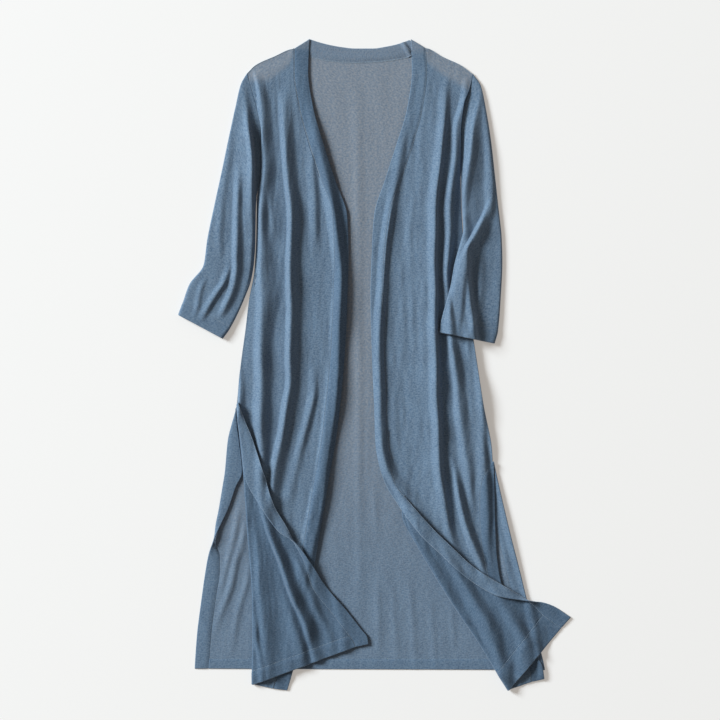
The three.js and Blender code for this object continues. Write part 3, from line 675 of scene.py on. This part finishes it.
# The back's outline under the fronts: d, x at the right, x at the left.
back_outline = curve([
    [56, -211, 165],
    [80, -205, 159],
    [107, -197, 150],
    [160, -187, 144],
    [220, -187, 144],
    [265, -195, 145],
    [292, -196, 147],
    [358, -198, 151],
    [427, -207, 156],
    [483, -214, 163],
    [545, -222, 172],
    [612, -229, 182],
    [667, -243, 194],
    [720, -248, 203],
    [780, -258, 222],
    [845, -272, 231],
    [910, -283, 249],
    [985, -293, 267],
    [1048, -298, 283],
])
right_folds = relief(
    [[50, -200, 5, 14, 0], [80, -191, 6, 15, 5], [120, -187, 9, 18, 8], [160, -184, 10, 20, 9],
     [200, -182, 11, 22, 9], [250, -184, 10, 22, 8], [300, -189, 7, 18, 7], [350, -188, 8, 18, 0]],
    [[240, -172, 8, 16, 0], [300, -170, 9, 20, 4], [345, -170, 8, 18, 0]],
    [[230, -186, 8, 14, 0], [300, -189, 7, 18, 3], [367, -187, 9, 30, 9], [420, -187, 12, 34, 10],
     [470, -187, 14, 26, 10], [545, -188, 15, 20, 11], [633, -188, 16, 20, 11], [700, -187, 14, 16, 8],
     [790, -187, 14, 14, 0]],
    [[520, -223, 5, 8, 0], [570, -222, 5, 9, 3], [610, -225, 4, 12, 5], [640, -226, 4, 8, 0]],
    [[80, -152, 12, 16, 0], [145, -150, 10, 18, 7], [220, -144, 8, 20, 11], [300, -139, 7, 20, 14],
     [400, -140, 7, 20, 14], [500, -140, 8, 20, 13], [560, -140, 8, 19, 13], [610, -147, 9, 18, 12],
     [660, -153, 10, 18, 11], [723, -166, 13, 20, 8], [800, -176, 14, 18, 0]],
    [[530, -98, 12, 12, 0], [583, -100, 12, 9, 3], [610, -105, 13, 9, 5], [650, -114, 13, 9, 4],
     [700, -126, 13, 11, 2.5], [740, -136, 12, 12, 2], [780, -143, 12, 12, 0]],
    [[150, -104, 16, 12, 0], [230, -101, 14, 11, 4], [300, -98, 14, 11, 4], [360, -97, 14, 12, 0]],
    [[90, -112, 16, 18, 0], [183, -91, 15, 18, 6], [250, -75, 15, 17, 10], [323, -62, 15, 16, 11],
     [400, -56, 15, 13, 11], [450, -57, 17, 14, 11], [517, -59, 17, 13, 8.5], [605, -65, 18, 11, 7.5],
     [650, -70, 19, 9, 6.5], [716, -79.5, 20, 9, 6], [783, -89.5, 26, 9, 5.5], [830, -99, 27, 11, 4.5],
     [900, -115, 26, 12, 2], [950, -123, 24, 12, 0]],
    [[530, -74, 8, 12, 0], [583, -76, 9, 13, 3.2], [650, -82, 9, 13, 3.4], [716, -90, 9, 13, 3.2],
     [783, -104, 10, 14, 3], [850, -118, 11, 14, 0]],
)
left_folds = relief(
    [[60, 120, 34, 12, 0], [145, 116, 44, 10, 3], [233, 106, 52, 9, 4], [323, 101, 58, 9, 5],
     [433, 101, 60, 10, 5.5], [545, 103, 60, 11, 5.5], [665, 106, 56, 12, 5], [753, 114, 46, 13, 5],
     [813, 124, 36, 14, 3], [890, 146, 24, 16, 0]],
    [[60, 120, 14, 10, 0], [145, 116, 14, 10, 5], [233, 106, 15, 9, 8], [323, 101, 14, 8, 9],
     [433, 101, 13, 8, 9.5], [545, 103, 14, 9, 9.5], [665, 107, 14, 9, 9], [720, 110, 15, 10, 7],
     [757, 115, 15, 11, 6], [800, 123, 15, 12, 5], [870, 140, 14, 12, 0]],
    [[60, 152, 8, 10, 0], [93, 151, 10, 15, 4], [150, 138, 10, 19, 6.5], [200, 134, 9, 17, 8],
     [240, 130, 13, 15, 9], [300, 125, 15, 15, 9], [350, 124, 13, 10, 9.5], [400, 122, 12, 7, 10],
     [425, 122, 12, 8, 6], [480, 127, 8, 12, 5], [510, 129, 8, 16, 11], [552, 134, 9, 18, 11],
     [602, 140, 10, 20, 10], [642, 145, 12, 20, 8], [675, 149, 12, 18, 6], [720, 157, 12, 12, 5],
     [750, 161, 10, 9, 4], [790, 165, 9, 8, 0]],
    [[470, 150, 8, 9, 0], [500, 156, 8, 9, 2.5], [540, 160, 8, 9, 0]],
    [[690, 128, 8, 10, 0], [718, 134, 8, 10, 5], [757, 139, 8, 11, 9], [785, 146, 9, 12, 10],
     [815, 155, 9, 14, 11], [845, 167, 11, 14, 9], [880, 181, 12, 12, 4], [905, 188, 10, 10, 0]],
    [[540, 176, 13, 8, 0], [600, 178, 14, 8, 5], [690, 184, 15, 9, 4], [750, 188, 16, 8, 5],
     [830, 190, 16, 8, 4], [870, 193, 12, 8, 0]],
    [[120, 62, 14, 10, 0], [200, 42, 13, 12, 2.5], [250, 33, 13, 11, 4.5], [300, 26, 13, 10, 6.5],
     [400, 15, 13, 10, 7], [500, 9, 13, 12, 7], [600, 9, 13, 13, 7.5], [670, 13, 13, 14, 7.5],
     [716, 23, 12, 18, 8], [745, 38, 12, 30, 7], [790, 62, 14, 44, 6], [850, 92, 14, 44, 4],
     [910, 124, 14, 34, 0]],
    [[330, 160, 40, 30, 0], [400, 158, 44, 30, 4], [500, 160, 44, 30, 5], [600, 166, 46, 30, 5],
     [700, 176, 46, 28, 4], [800, 186, 40, 26, 0]],
    [[370, 42, 6, 6, 0], [395, 45, 6, 6, 0.9], [420, 46, 6, 6, 0]],
    [[590, 46, 7, 6, 0], [620, 48, 7, 6, 1.0], [650, 50, 7, 6, 0]],
    [[250, 66, 9, 9, 0], [330, 60, 10, 9, 1.1], [430, 62, 9, 9, 0.9], [500, 60, 8, 8, 0]],
)
right_flap_folds = relief(
    [[745, -192, 8, 10, 0], [780, -186, 7, 16, 4], [833, -169, 6, 17, 9], [900, -145, 6, 19, 11.5],
     [940, -130, 6, 19, 11], [967, -118, 6, 20, 8.5], [1008, -104, 7, 20, 5.5], [1060, -91, 9, 18, 4]],
    [[800, -199, 8, 9, 0], [850, -194, 9, 18, 3], [900, -190, 10, 32, 5], [940, -186, 12, 30, 5],
     [967, -184, 12, 26, 4.5], [1010, -180, 12, 22, 4], [1060, -176, 12, 18, 2.5]],
    [[950, -199, 6, 8, 0], [993, -196, 7, 8, 3.5], [1025, -190, 7, 9, 4], [1075, -186, 8, 10, 3]],
    [[915, -150, 10, 10, 0], [967, -135, 18, 12, 4], [1010, -123, 20, 13, 4.5], [1055, -114, 18, 12, 3]],
    [[850, -134, 9, 8, 0], [885, -121, 11, 10, 3], [940, -100, 12, 12, 3], [985, -78, 12, 12, 1.5],
     [1040, -62, 12, 12, 0.8]],
    [[900, -70, 14, 12, 0], [940, -60, 16, 14, 2], [1000, -50, 16, 14, 2.5]],
)
left_flap_folds = relief(
    [[775, 48, 3, 8, 0], [805, 58, 4, 12, 3], [845, 77, 4, 15, 4.5], [885, 100, 4, 17, 4],
     [927, 126, 4, 17, 3], [965, 149, 5, 16, 2], [1010, 178, 5, 14, 0]],
    [[830, 112, 10, 12, 0], [870, 128, 14, 16, 4], [905, 150, 18, 20, 7], [970, 187, 22, 22, 8],
     [1040, 214, 20, 22, 5]],
    [[905, 196, 12, 14, 0], [940, 214, 16, 18, 4], [1000, 253, 20, 20, 5]],
    [[940, 152, 10, 12, 0], [985, 182, 12, 14, 2], [1040, 214, 12, 14, 0]],
)
# The turned edges of the fronts: d, x, y, how far the row is turned.
right_turn = curve([
    [605, -227, -64, 0],
    [635, -226, -95, 1],
    [672, -223, -127, 1],
    [725, -217.5, -180, 1],
    [787, -213, -245, 1],
    [820, -211, -279, 1],
    [852, -208, -312, 1],
    [880, -205.5, -340, 1],
    [927, -202.5, -388, 1],
    [1000, -202, -460, 1],
    [1056, -203, -510, 1],
    [1080, -203, -533, 1],
])
left_turn = curve([
    [735, 41, -199, 0],
    [762, 45, -226, 0.5],
    [790, 47, -252, 1],
    [845, 72, -303, 1],
    [885, 96, -344, 1],
    [927, 122, -386, 1],
    [965, 145, -421, 1],
    [1000, 169, -456, 1],
    [1030, 188, -486, 1],
    [1056, 204, -513, 1],
    [1080, 223, -543, 1],
])
# Edges of the fronts' bands and slit bands: d, seam edge x, y, free edge x, y, layer, how high the free
# edge stands. Layer 0 lies beside the lower layer, 1 beside the turned one, 2 on top of it.
right_front_edge = curve([
    [0, -133, 524.5, -108, 540, 0, 0],
    [53, -133, 487, -110, 487, 0, 0],
    [113, -124, 427, -102, 428, 0, 0],
    [177, -107, 366, -84, 363, 0, 0],
    [230, -90, 313, -66, 308, 0, 0],
    [292, -69, 250, -45, 246, 0, 0],
    [358, -66, 182, -43, 182, 0, 0],
    [427, -68, 113, -45, 113, 0, 0],
    [483, -70, 57, -47, 57, 0, 0],
    [545, -74, -5, -51, -5, 0, 0],
    [605, -80, -65, -57, -66, 0, 0],
    [672, -88, -131, -65, -132, 0, 0],
    [725, -98, -183, -75, -185, 0, 0],
    [787, -108, -245, -85, -247, 0, 0],
    [852, -119, -310, -96, -312, 0, 0],
    [927, -131, -383, -108, -387, 0, 0],
    [1000, -146, -456, -123, -461, 0, 0],
    [1056, -161, -515, -138, -519, 0, 0],
    [1080, -168, -540, -145, -543, 0, 0],
])
left_front_edge = curve([
    [0, 86, 525.5, 62, 540, 0, 0],
    [53, 88, 487, 64, 487, 0, 0],
    [113, 81, 427, 56, 426, 0, 0],
    [177, 64, 363, 37, 362, 0, 0],
    [230, 46, 310, 20, 309, 0, 0],
    [292, 25, 248, 1, 247, 0, 0],
    [358, 17, 182, -3, 182, 0, 0],
    [427, 14, 113, -5, 113, 0, 0],
    [483, 16, 57, -4, 57, 0, 0],
    [545, 18, -5, -2, -5, 0, 0],
    [612, 21, -72, 1, -72, 0, 0],
    [672, 20, -132, 3, -132, 0, 0],
    [700, 26, -162, 8, -163, 0, 0],
    [735, 36, -200, 19, -198, 0, 0],
    [762, 55, -225, 40, -233, 0.5, 0],
    [790, 72, -245, 57, -257, 1.5, 0],
    [845, 97, -273, 83, -289, 2, 0],
    [885, 129, -304, 114, -318, 2, 0],
    [927, 161, -334, 147, -349, 2, 0],
    [965, 190, -354, 177, -370, 2, 0],
    [1000, 219, -371, 209, -386, 2, 1],
    [1030, 252, -391, 257, -394, 1.5, 5],
    [1045, 268, -405, 279, -397, 1, 1],
    [1056, 281, -418, 297, -403, 1, 0],
    [1080, 311, -440, 327, -422, 1, 0],
])
right_front_slit = curve([
    [605, -226, -64, -228, -68, 1, 0],
    [635, -216, -92, -226, -98, 2, 0],
    [672, -204, -120, -220.5, -130, 2, 0],
    [725, -185, -176, -215, -183, 2, 0],
    [787, -165, -238, -182, -246, 2, 0],
    [820, -147, -268, -159, -277, 2, 1],
    [852, -131, -300, -129, -299, 1.5, 5],
    [880, -116, -330, -102, -336, 1, 1],
    [927, -104, -369, -83, -367, 1, 0],
    [1000, -67, -419, -45, -412, 1, 0],
    [1056, -42, -452, -20, -444, 1, 0],
    [1070, -35, -462, -11.5, -455, 1, 0],
    [1080, -31, -470.5, -10, -466, 1, 0],
])
left_front_slit = curve([
    [700, 197, -163, 199, -163, 0, 0],
    [735, 179, -197, 200, -197, 0, 0],
    [762, 176, -222, 200.5, -222, 0, 0],
    [790, 176, -249, 201, -250, 0, 0],
    [845, 179, -300, 203, -305, 0, 0],
    [885, 187, -343, 208, -349, 0, 0],
    [927, 199, -380, 219, -388, 0, 0],
    [965, 213, -412, 233, -425, 0, 0],
    [1000, 227, -441, 249, -454, 0, 0],
    [1030, 244, -470, 264, -480, 0, 0],
    [1056, 257, -502, 279, -501, 0, 0],
    [1080, 262, -529, 283, -524, 0, 0],
])


def over_back(x, y):
    """1 over the back, falling to 0 just beyond its outline."""
    right, left = back_outline(NECK_Y - y)
    beyond = np.maximum(np.maximum(right - x, x - left), BACK_HEM_Y - y)
    return 1 - ease((beyond - 8) / 16)


def sewn_down(x, y):
    """How far a front comes down to the back at the shoulder and the side seam."""
    d = NECK_Y - y
    shoulder = (1 - ease((top_edge(x)[0] - y) / 22)) * ease((np.abs(x - CENTRE) - 112) / 10)
    right, left = back_outline(d)
    within = np.minimum(x - right, left - x)
    side = (1 - ease(within / 12)) * ease((d - 250) / 30) * (1 - ease((d - 590) / 30))
    return (LAYER - SEWN) * np.maximum(shoulder, np.where(d > 225, side, 0))


def front_z(folds, seed):
    """The height of a front's lower part: what lies under it, its folds, and soft waves."""

    def height(x, y):
        d = NECK_Y - y
        right, left = back_outline(d)
        within = np.minimum(x - right, left - x)
        lively = ease(within / 25) * ease((d - 30) / 60) + 0.5 * (1 - over_back(x, y))
        under = LAYER + back_z(x, y) - KNIT / 2 - sewn_down(x, y)
        own = np.maximum(folds(x, y), 0)
        soft = 1.2 * rippled(x, y, 30, 260, seed) + 0.5 * rippled(x, y, 10, 60, seed + 1)
        return KNIT / 2 + over_back(x, y) * under + own + lively * soft

    return height


right_low = front_z(right_folds, 11)
left_low = front_z(left_folds, 23)


def flap_z(low, edge, folds, seed):
    """The height of a front's turned part, over the part that it lies on and beyond that part's edge."""

    def height(x, y):
        lying = 1 - ease((x - edge(NECK_Y - y)[2] - 2) / 26)
        return low(x, y) + 2 * FOLD_R * lying + folds(x, y) + 0.8 * rippled(x, y, 40, 120, seed)

    return height


right_high = flap_z(right_low, right_front_edge, right_flap_folds, 5)
left_high = flap_z(left_low, left_front_slit, left_flap_folds, 8)


def front_rows(side, rows, lower=66, turning=8, upper=60):
    """Rows of a front: its lower part, the turned edge, and the part that lies on top."""
    d = rows[:, None]
    if side == "right":
        turn, low, high = right_turn, right_low, right_high
    else:
        turn, low, high = left_turn, left_low, left_high

    def ends(at):
        """The panel's edge on the lower part, and its edge on the part that is turned over it."""
        if side == "right":
            return right_front_edge(at)[:2], edge_of(right_side, right_front_slit, RIGHT_SLIT, at)
        return edge_of(left_side, left_front_slit, LEFT_SLIT, at), left_front_edge(at)[:2]

    p, r = ends(d)
    start, stop = ends(np.zeros((1, 1)))
    tx, ty, turned = turn(d)
    turned = ease(turned)
    before, after = turn(d - 6), turn(d + 6)
    run = np.stack([after[0] - before[0], after[1] - before[1]])
    run /= np.maximum(np.hypot(*run), 1e-6)
    out = np.stack([run[1], -run[0]])
    inner = np.stack([tx, ty]) - out * FOLD_R
    count = lower + turning + upper
    j = np.arange(count + 1)[None, :]
    # Where nothing is turned yet, the columns of the turn and of the upper part share the last 4 mm.
    short = (1 - 4 / np.hypot(r[0] - p[0], r[1] - p[1])) / lower
    q = np.where(j <= lower, j * short, mix(lower * short, 1, (j - lower) / (count - lower)))
    fx = mix(p[0], r[0], q)
    fy = mix(p[1], r[1], q)
    fy = bowed(fy, mix(start[0], stop[0], q), mix(start[1], stop[1], q), d)
    first = np.clip(j / lower, 0, 1)
    angle = math.pi * np.clip((j - lower) / turning, 0, 1)
    last = np.clip((j - lower - turning) / upper, 0, 1)
    x = mix(mix(p[0], inner[0], first), r[0], last) + out[0] * FOLD_R * np.sin(angle)
    y = mix(mix(p[1], inner[1], first), r[1], last) + out[1] * FOLD_R * np.sin(angle)
    round_z = mix(low(inner[0], inner[1]), high(inner[0], inner[1]), (1 - np.cos(angle)) / 2)
    top_z = np.where(j < lower + turning, round_z, high(x, y))
    x, y = mix(fx, x, turned), mix(fy, y, turned)
    z = mix(low(x, y), top_z, np.where(j <= lower, 0, turned**1.5))
    grid = np.stack([x, y, z], 2)
    for end, beside in ((0, 1), (-1, -2)):
        inwards = grid[:, beside] - grid[:, end]
        grid[:, end] += SEAM * inwards / np.linalg.norm(inwards, axis=1, keepdims=True)
    return grid


def shoulder_sheerness(x, y):
    """Single layers over the pale surface look greyer across the tops of the shoulders, above a line
    that is given by the distance out from the centre and by y."""
    out = np.abs(x - CENTRE)
    right_line = np.interp(out, [108, 118, 155, 194], [526, 500, 472, 474])
    left_line = np.interp(out, [108, 113, 129, 147, 166, 179], [520, 503, 490, 477, 467, 459])
    return 0.85 * ease((y - np.where(x < CENTRE, right_line, left_line) + 8) / 14)


made_fronts = {}
for side in ("right", "left"):
    panel_rows = front_rows(side, in_order((0, 60, 4), (60, panel_end, 4.6)))
    panel, face = cloth(side + "_front_panel", panel_rows, KNIT, [outside, purl], shoulder_sheerness)
    hem_rows = front_rows(side, in_order((hem_start, LENGTH, 3)))
    hem, hem_face = cloth(side + "_front_hem_band", hem_rows, doubled_wall(9)[:, None], [doubled, purl])
    made_fronts[side] = (panel, face, hem, hem_face)

# The bands down the two open edges, 20 to 24 mm wide, from the hem up over the shoulder to the back neck
# band: jersey laid double, sewn on with one fine row of stitches.


def band_sheerness(x, y):
    """A doubled band lets less of the surface through than the single jersey beside it."""
    return 0.6 * shoulder_sheerness(x, y)


front_bands = {}
for side, table, low, high in (
    ("right", right_front_edge, right_low, right_high),
    ("left", left_front_edge, left_low, left_high),
):
    strip = banded(table, in_order((0, LENGTH, 4)), low, high, 14)
    wall = doubled_wall(15)[None, :]
    front_bands[side] = cloth(side + "_front_band", strip, wall, [doubled, purl], band_sheerness)

# The facings of the fronts' side slits, the same doubled jersey, sewn down like the bands. They start
# at nothing where each slit begins.
front_slit_bands = {}
for side, table, low, high, from_d in (
    ("right", right_front_slit, right_low, right_high, RIGHT_SLIT),
    ("left", left_front_slit, left_low, left_high, LEFT_SLIT),
):
    strip = banded(table, in_order((from_d, LENGTH, 4)), low, high)
    wall = doubled_wall(9)[None, :]
    front_slit_bands[side] = cloth(side + "_front_slit_band", strip, wall, [doubled, purl])

# The fronts' stitches, and the linked seams that join each front to the back over the shoulder and to
# its sleeve round the armhole, which stand up as a fine welt. Then the cut of the fronts and of their
# bands: width and length in metres, and each panel's own flat area.
FRONT_CUTS = {
    "right": {
        "panel": (0.225, 1.035), "area": 0.156, "hem": (0.23, 0.024), "band": (0.026, 1.09),
        "slit": (0.024, 0.46),
    },
    "left": {
        "panel": (0.20, 1.05), "area": 0.156, "hem": (0.20, 0.028), "band": (0.022, 1.12),
        "slit": (0.022, 0.385),
    },
}
for side, cuts in FRONT_CUTS.items():
    panel, face, hem, hem_face = made_fronts[side]
    band, band_face = front_bands[side]
    slit, slit_face = front_slit_bands[side]
    stitches = sewn(side + "_front_stitches", [hem_face[1], band_face[:, 1], slit_face[:, 1]])
    armhole = face[face[:, 0, 1] > NECK_Y - ARMHOLE + 1]
    welts = [armhole[:, 0], face[0]] if side == "right" else [face[0]]
    linked_seams = sewn(side + "_linked_seams", welts, 1.6, 3.2, 0.95)
    # A row of near-black beads just inside each armhole paints the shade of a crease beside the seam;
    # there is no groove in the cloth.
    crease_shade_path = armhole[:, 2 if side == "right" else 1]
    painted_crease_shade = sewn(side + "_armhole_painted_shade", [crease_shade_path], 1.6, 3.2, 1.1, 5, shade_bead_yarn)

# The sleeves: one tube of jersey each to below the elbow, set into the armhole, with a 23 mm hem turned
# up inside. The right one lies beside the body with a bend at the elbow, the left one lies over the
# side of the left front.

# The turned hem, how high the left sleeve lies over the front, and each sleeve's length.
CUFF = 23
OVER = 2.6
SLEEVE_END = {"right": 420, "left": 463}
# Distance along the outer edge, outer edge x, y, inner edge x, y, half the tube's least height.
sleeve_edges = {
    "right": curve([
        [0, -211, 484, -195.8, 275, 1.2],
        [20, -221, 466, -196.5, 268, 1.8],
        [58, -230, 428, -197, 258, 2.3],
        [113, -242, 373, -197.3, 241, 2.5],
        [168, -253, 320, -197.6, 222, 2.5],
        [225, -265, 265, -198, 200, 2.5],
        [284, -277, 207, -200, 170, 2.5],
        [325, -283, 165, -205, 140, 2.5],
        [367, -307, 132, -217, 107, 2.8],
        [396, -317, 104, -238, 63, 3.3],
        [420, -325, 82, -252, 43, 3.5],
    ]),
    "left": curve([
        [0, 165, 482, 145.8, 275, 1.2],
        [20, 177, 464, 146.2, 266, 1.8],
        [58, 185, 428, 146.9, 255, 2.3],
        [113, 194, 373, 147.8, 240, 2.5],
        [168, 200, 320, 148.6, 222, 2.5],
        [225, 206, 265, 142, 196, 2.5],
        [284, 212, 207, 134, 166, 2.5],
        [325, 213, 170, 128, 133, 2.5],
        [390, 210, 107, 118, 95, 2.8],
        [440, 206, 58, 113, 77, 3.3],
        [463, 200, 35, 109, 53, 3.5],
    ]),
}
sleeve_folds = {
    "right": relief(
        [[40, -214, 18, 8, 0], [80, -212, 20, 8, 4], [140, -206, 30, 8, 7], [200, -203, 34, 8, 8],
         [280, -202, 36, 8, 8], [340, -203, 30, 8, 6], [400, -205, 24, 8, 3], [430, -210, 20, 8, 0]],
        [[70, -218, 8, 8, 0], [93, -214, 9, 8, 4], [140, -209, 9, 9, 7], [187, -204, 9, 8, 8],
         [233, -203, 10, 9, 6], [280, -201, 12, 8, 5], [350, -199, 12, 7, 4], [400, -201, 10, 7, 3],
         [430, -206, 8, 6, 0]],
        [[200, -226, 8, 9, 0], [250, -226, 9, 10, 5], [317, -229, 9, 12, 8], [359, -229, 9, 13, 9],
         [380, -228, 9, 13, 9], [402, -231, 10, 13, 8], [423, -238, 10, 13, 7], [444, -248, 10, 12, 5],
         [465, -256, 9, 10, 0]],
        [[375, -240, 8, 6, 0], [402, -248, 11, 7, 4], [423, -262, 12, 8, 5.5], [447, -277, 12, 8, 4],
         [470, -288, 10, 8, 0]],
        [[395, -280, 8, 6, 0], [418, -289, 9, 6, 2.5], [445, -294, 9, 6, 2], [465, -300, 8, 6, 0]],
        [[150, -238, 10, 9, 0], [200, -243, 10, 10, 2], [290, -256, 12, 10, 3], [345, -257, 12, 10, 2],
         [370, -258, 10, 10, 0]],
    ),
    "left": relief(
        [[60, 172, 6, 16, 0], [120, 160, 6, 30, 5], [200, 152, 6, 38, 7], [280, 146, 6, 42, 7],
         [340, 140, 6, 48, 5], [420, 130, 8, 52, 3], [500, 122, 8, 50, 2.5]],
        [[262, 196, 7, 10, 0], [290, 185, 6, 20, 7], [323, 167, 6, 26, 11], [365, 147, 7, 30, 11],
         [407, 134, 8, 30, 8.5], [450, 126, 8, 28, 5.5], [487, 120, 8, 26, 4]],
        [[60, 178, 6, 9, 0], [93, 176, 7, 10, 2.5], [132, 168, 6, 14, 4], [183, 161, 6, 14, 5],
         [247, 152, 6, 12, 5], [292, 148, 4, 10, 3], [340, 145, 4, 10, 0]],
        [[80, 184, 8, 8, 0], [132, 190, 12, 9, 3.5], [183, 194, 15, 9, 5.5], [247, 198, 16, 8, 6],
         [275, 196, 14, 9, 4], [300, 192, 12, 9, 0]],
        [[350, 180, 10, 9, 0], [385, 178, 11, 11, 2], [420, 177, 11, 12, 2.6], [443, 173, 12, 12, 2.6],
         [480, 164, 12, 11, 2], [500, 160, 10, 10, 1]],
        [[370, 150, 8, 8, 0], [400, 148, 9, 8, 2.5], [450, 144, 9, 8, 2.5], [490, 140, 8, 8, 0]],
    ),
}


def sleeve_rows(side, rows, across=44, turning=8):
    """Rings of a sleeve: the under layer from the shoulder to the underarm, and the upper layer back."""
    s = rows[:, None]
    ox, oy, ix, iy, half = sleeve_edges[side](s)
    armhole = right_side if side == "right" else left_side
    ax, ay = armhole(0.0)[:2]
    bx, by = armhole(float(ARMHOLE))[:2]
    keep = np.maximum(1 - s / 150, 0) ** 2
    outward = -1 if side == "right" else 1
    folds = sleeve_folds[side]

    def lowest(x, y):
        """The height of the under layer, on the surface or over the left front."""
        if side == "right":
            return KNIT / 2 + 0 * x
        edge = back_outline(NECK_Y - y)[1]
        over = ease((edge + 15 - x) / 13) * ease((262 - y) / 28)
        return mix(KNIT / 2, left_low(x, y) + OVER, over)

    u = np.linspace(0, 1, across + 1)[None, :]
    hx, hy = armhole(ARMHOLE * u)[:2]
    x = mix(ox, ix, u) + keep * (hx - mix(ax, bx, u)) + outward * 0.8 * SEAM
    y = mix(oy, iy, u) + keep * (hy - mix(ay, by, u))
    reach = np.hypot(ix - ox, iy - oy)
    axis = np.stack([(ix - ox) / reach, (iy - oy) / reach])
    ends = ease(u / 0.06) * ease((1 - u) / 0.06)
    shift = half * ((1 - ends) * np.where(u < 0.5, 1, -1))
    x = x + axis[0] * shift
    y = y + axis[1] * shift
    fullness = np.sin(math.pi * u) ** 0.5
    under = lowest(x, y)
    soft = 0.9 * rippled(x, y, 24, 90, 31 if side == "right" else 37)
    over = under + 2 * half + (folds(x, y) + soft) * fullness * ease(s / 40)

    def arc(k, from_z, to_z, sign):
        """The turn at the sleeve's edge in column k, from one layer's height to the other's."""
        angle = math.pi * np.arange(1, turning)[None, :] / turning
        bulge = sign * half * np.sin(angle)
        z = mix(from_z[:, [k]], to_z[:, [k]], (1 - np.cos(angle)) / 2)
        return np.stack([x[:, [k]] + axis[0] * bulge, y[:, [k]] + axis[1] * bulge, z], 2)

    low_part = np.stack([x, y, under], 2)
    high_part = np.stack([x, y, over], 2)[:, ::-1]
    return np.concatenate([low_part, arc(-1, under, over, 1), high_part, arc(0, over, under, -1)], 1)


# Each sleeve's cut: all round at the armhole, length, flat area; and its cuff's, all round and length.
SLEEVE_CUTS = {"right": (0.42, 0.40, 0.058, 0.19, 0.023), "left": (0.42, 0.44, 0.057, 0.22, 0.024)}
for side, (round_arm, length, area, round_wrist, depth) in SLEEVE_CUTS.items():
    end = SLEEVE_END[side]
    tube = in_order((0, 30, 4), (30, end - CUFF - SEAM / 2, 4))
    sleeve = cloth(side + "_sleeve", sleeve_rows(side, tube), KNIT, [outside], ring=True)[0]
    turned_up = in_order((end - CUFF + SEAM / 2, end, 3))
    cuff_wall = doubled_wall(len(turned_up))[:, None]
    cuff, cuff_face = cloth(side + "_cuff", sleeve_rows(side, turned_up), cuff_wall, [doubled], ring=True)
    line = cuff_face[1]
    stitches = sewn(side + "_sleeve_stitches", [np.concatenate([line, line[:1]])])

# A plain pale surface that glows a little, painted light of its own that keeps the shadows on it light and
# warm, and the light of a large soft window to the upper left.
plain = bpy.data.meshes.new("surface")
plain.from_pydata([(-4, -4, 0), (4, -4, 0), (4, 4, 0), (-4, 4, 0)], [], [(0, 1, 2, 3)])
surface = bpy.data.objects.new("surface", plain)
bpy.context.scene.collection.objects.link(surface)
glowing_paper = bpy.data.materials.new("pale paper with painted glow")
glowing_paper.use_nodes = True
feed(glowing_paper.node_tree.nodes["Principled BSDF"], {
    "Base Color": (0.53, 0.547, 0.562, 1), "Roughness": 0.9, "Specular IOR Level": 0.1,
    # The surface's own warm glow is painted light that lifts and warms the shadows cast on it.
    "Emission Color": (1.0, 0.93, 0.85, 1), "Emission Strength": 0.30,
})
plain.materials.append(glowing_paper)
glow = bpy.data.lights.new("window light", "AREA")
glow.shape = "SQUARE"
glow.size = 6.6
glow.energy = 8100
glow.color = (0.93, 0.98, 1.0)
window = bpy.data.objects.new("window light", glow)
window.location = (-16.0, 8.2, 9.4)
window.rotation_euler = (-window.location).to_track_quat("-Z", "Y").to_euler()
bpy.context.scene.collection.objects.link(window)
room = bpy.data.worlds.new("soft room")
room.use_nodes = True
feed(room.node_tree.nodes["Background"], {"Color": (1.0, 0.89, 0.81, 1), "Strength": 0.27})
bpy.context.scene.world = room
bpy.context.scene.view_settings.view_transform = "Standard"
bpy.context.view_layer.update()
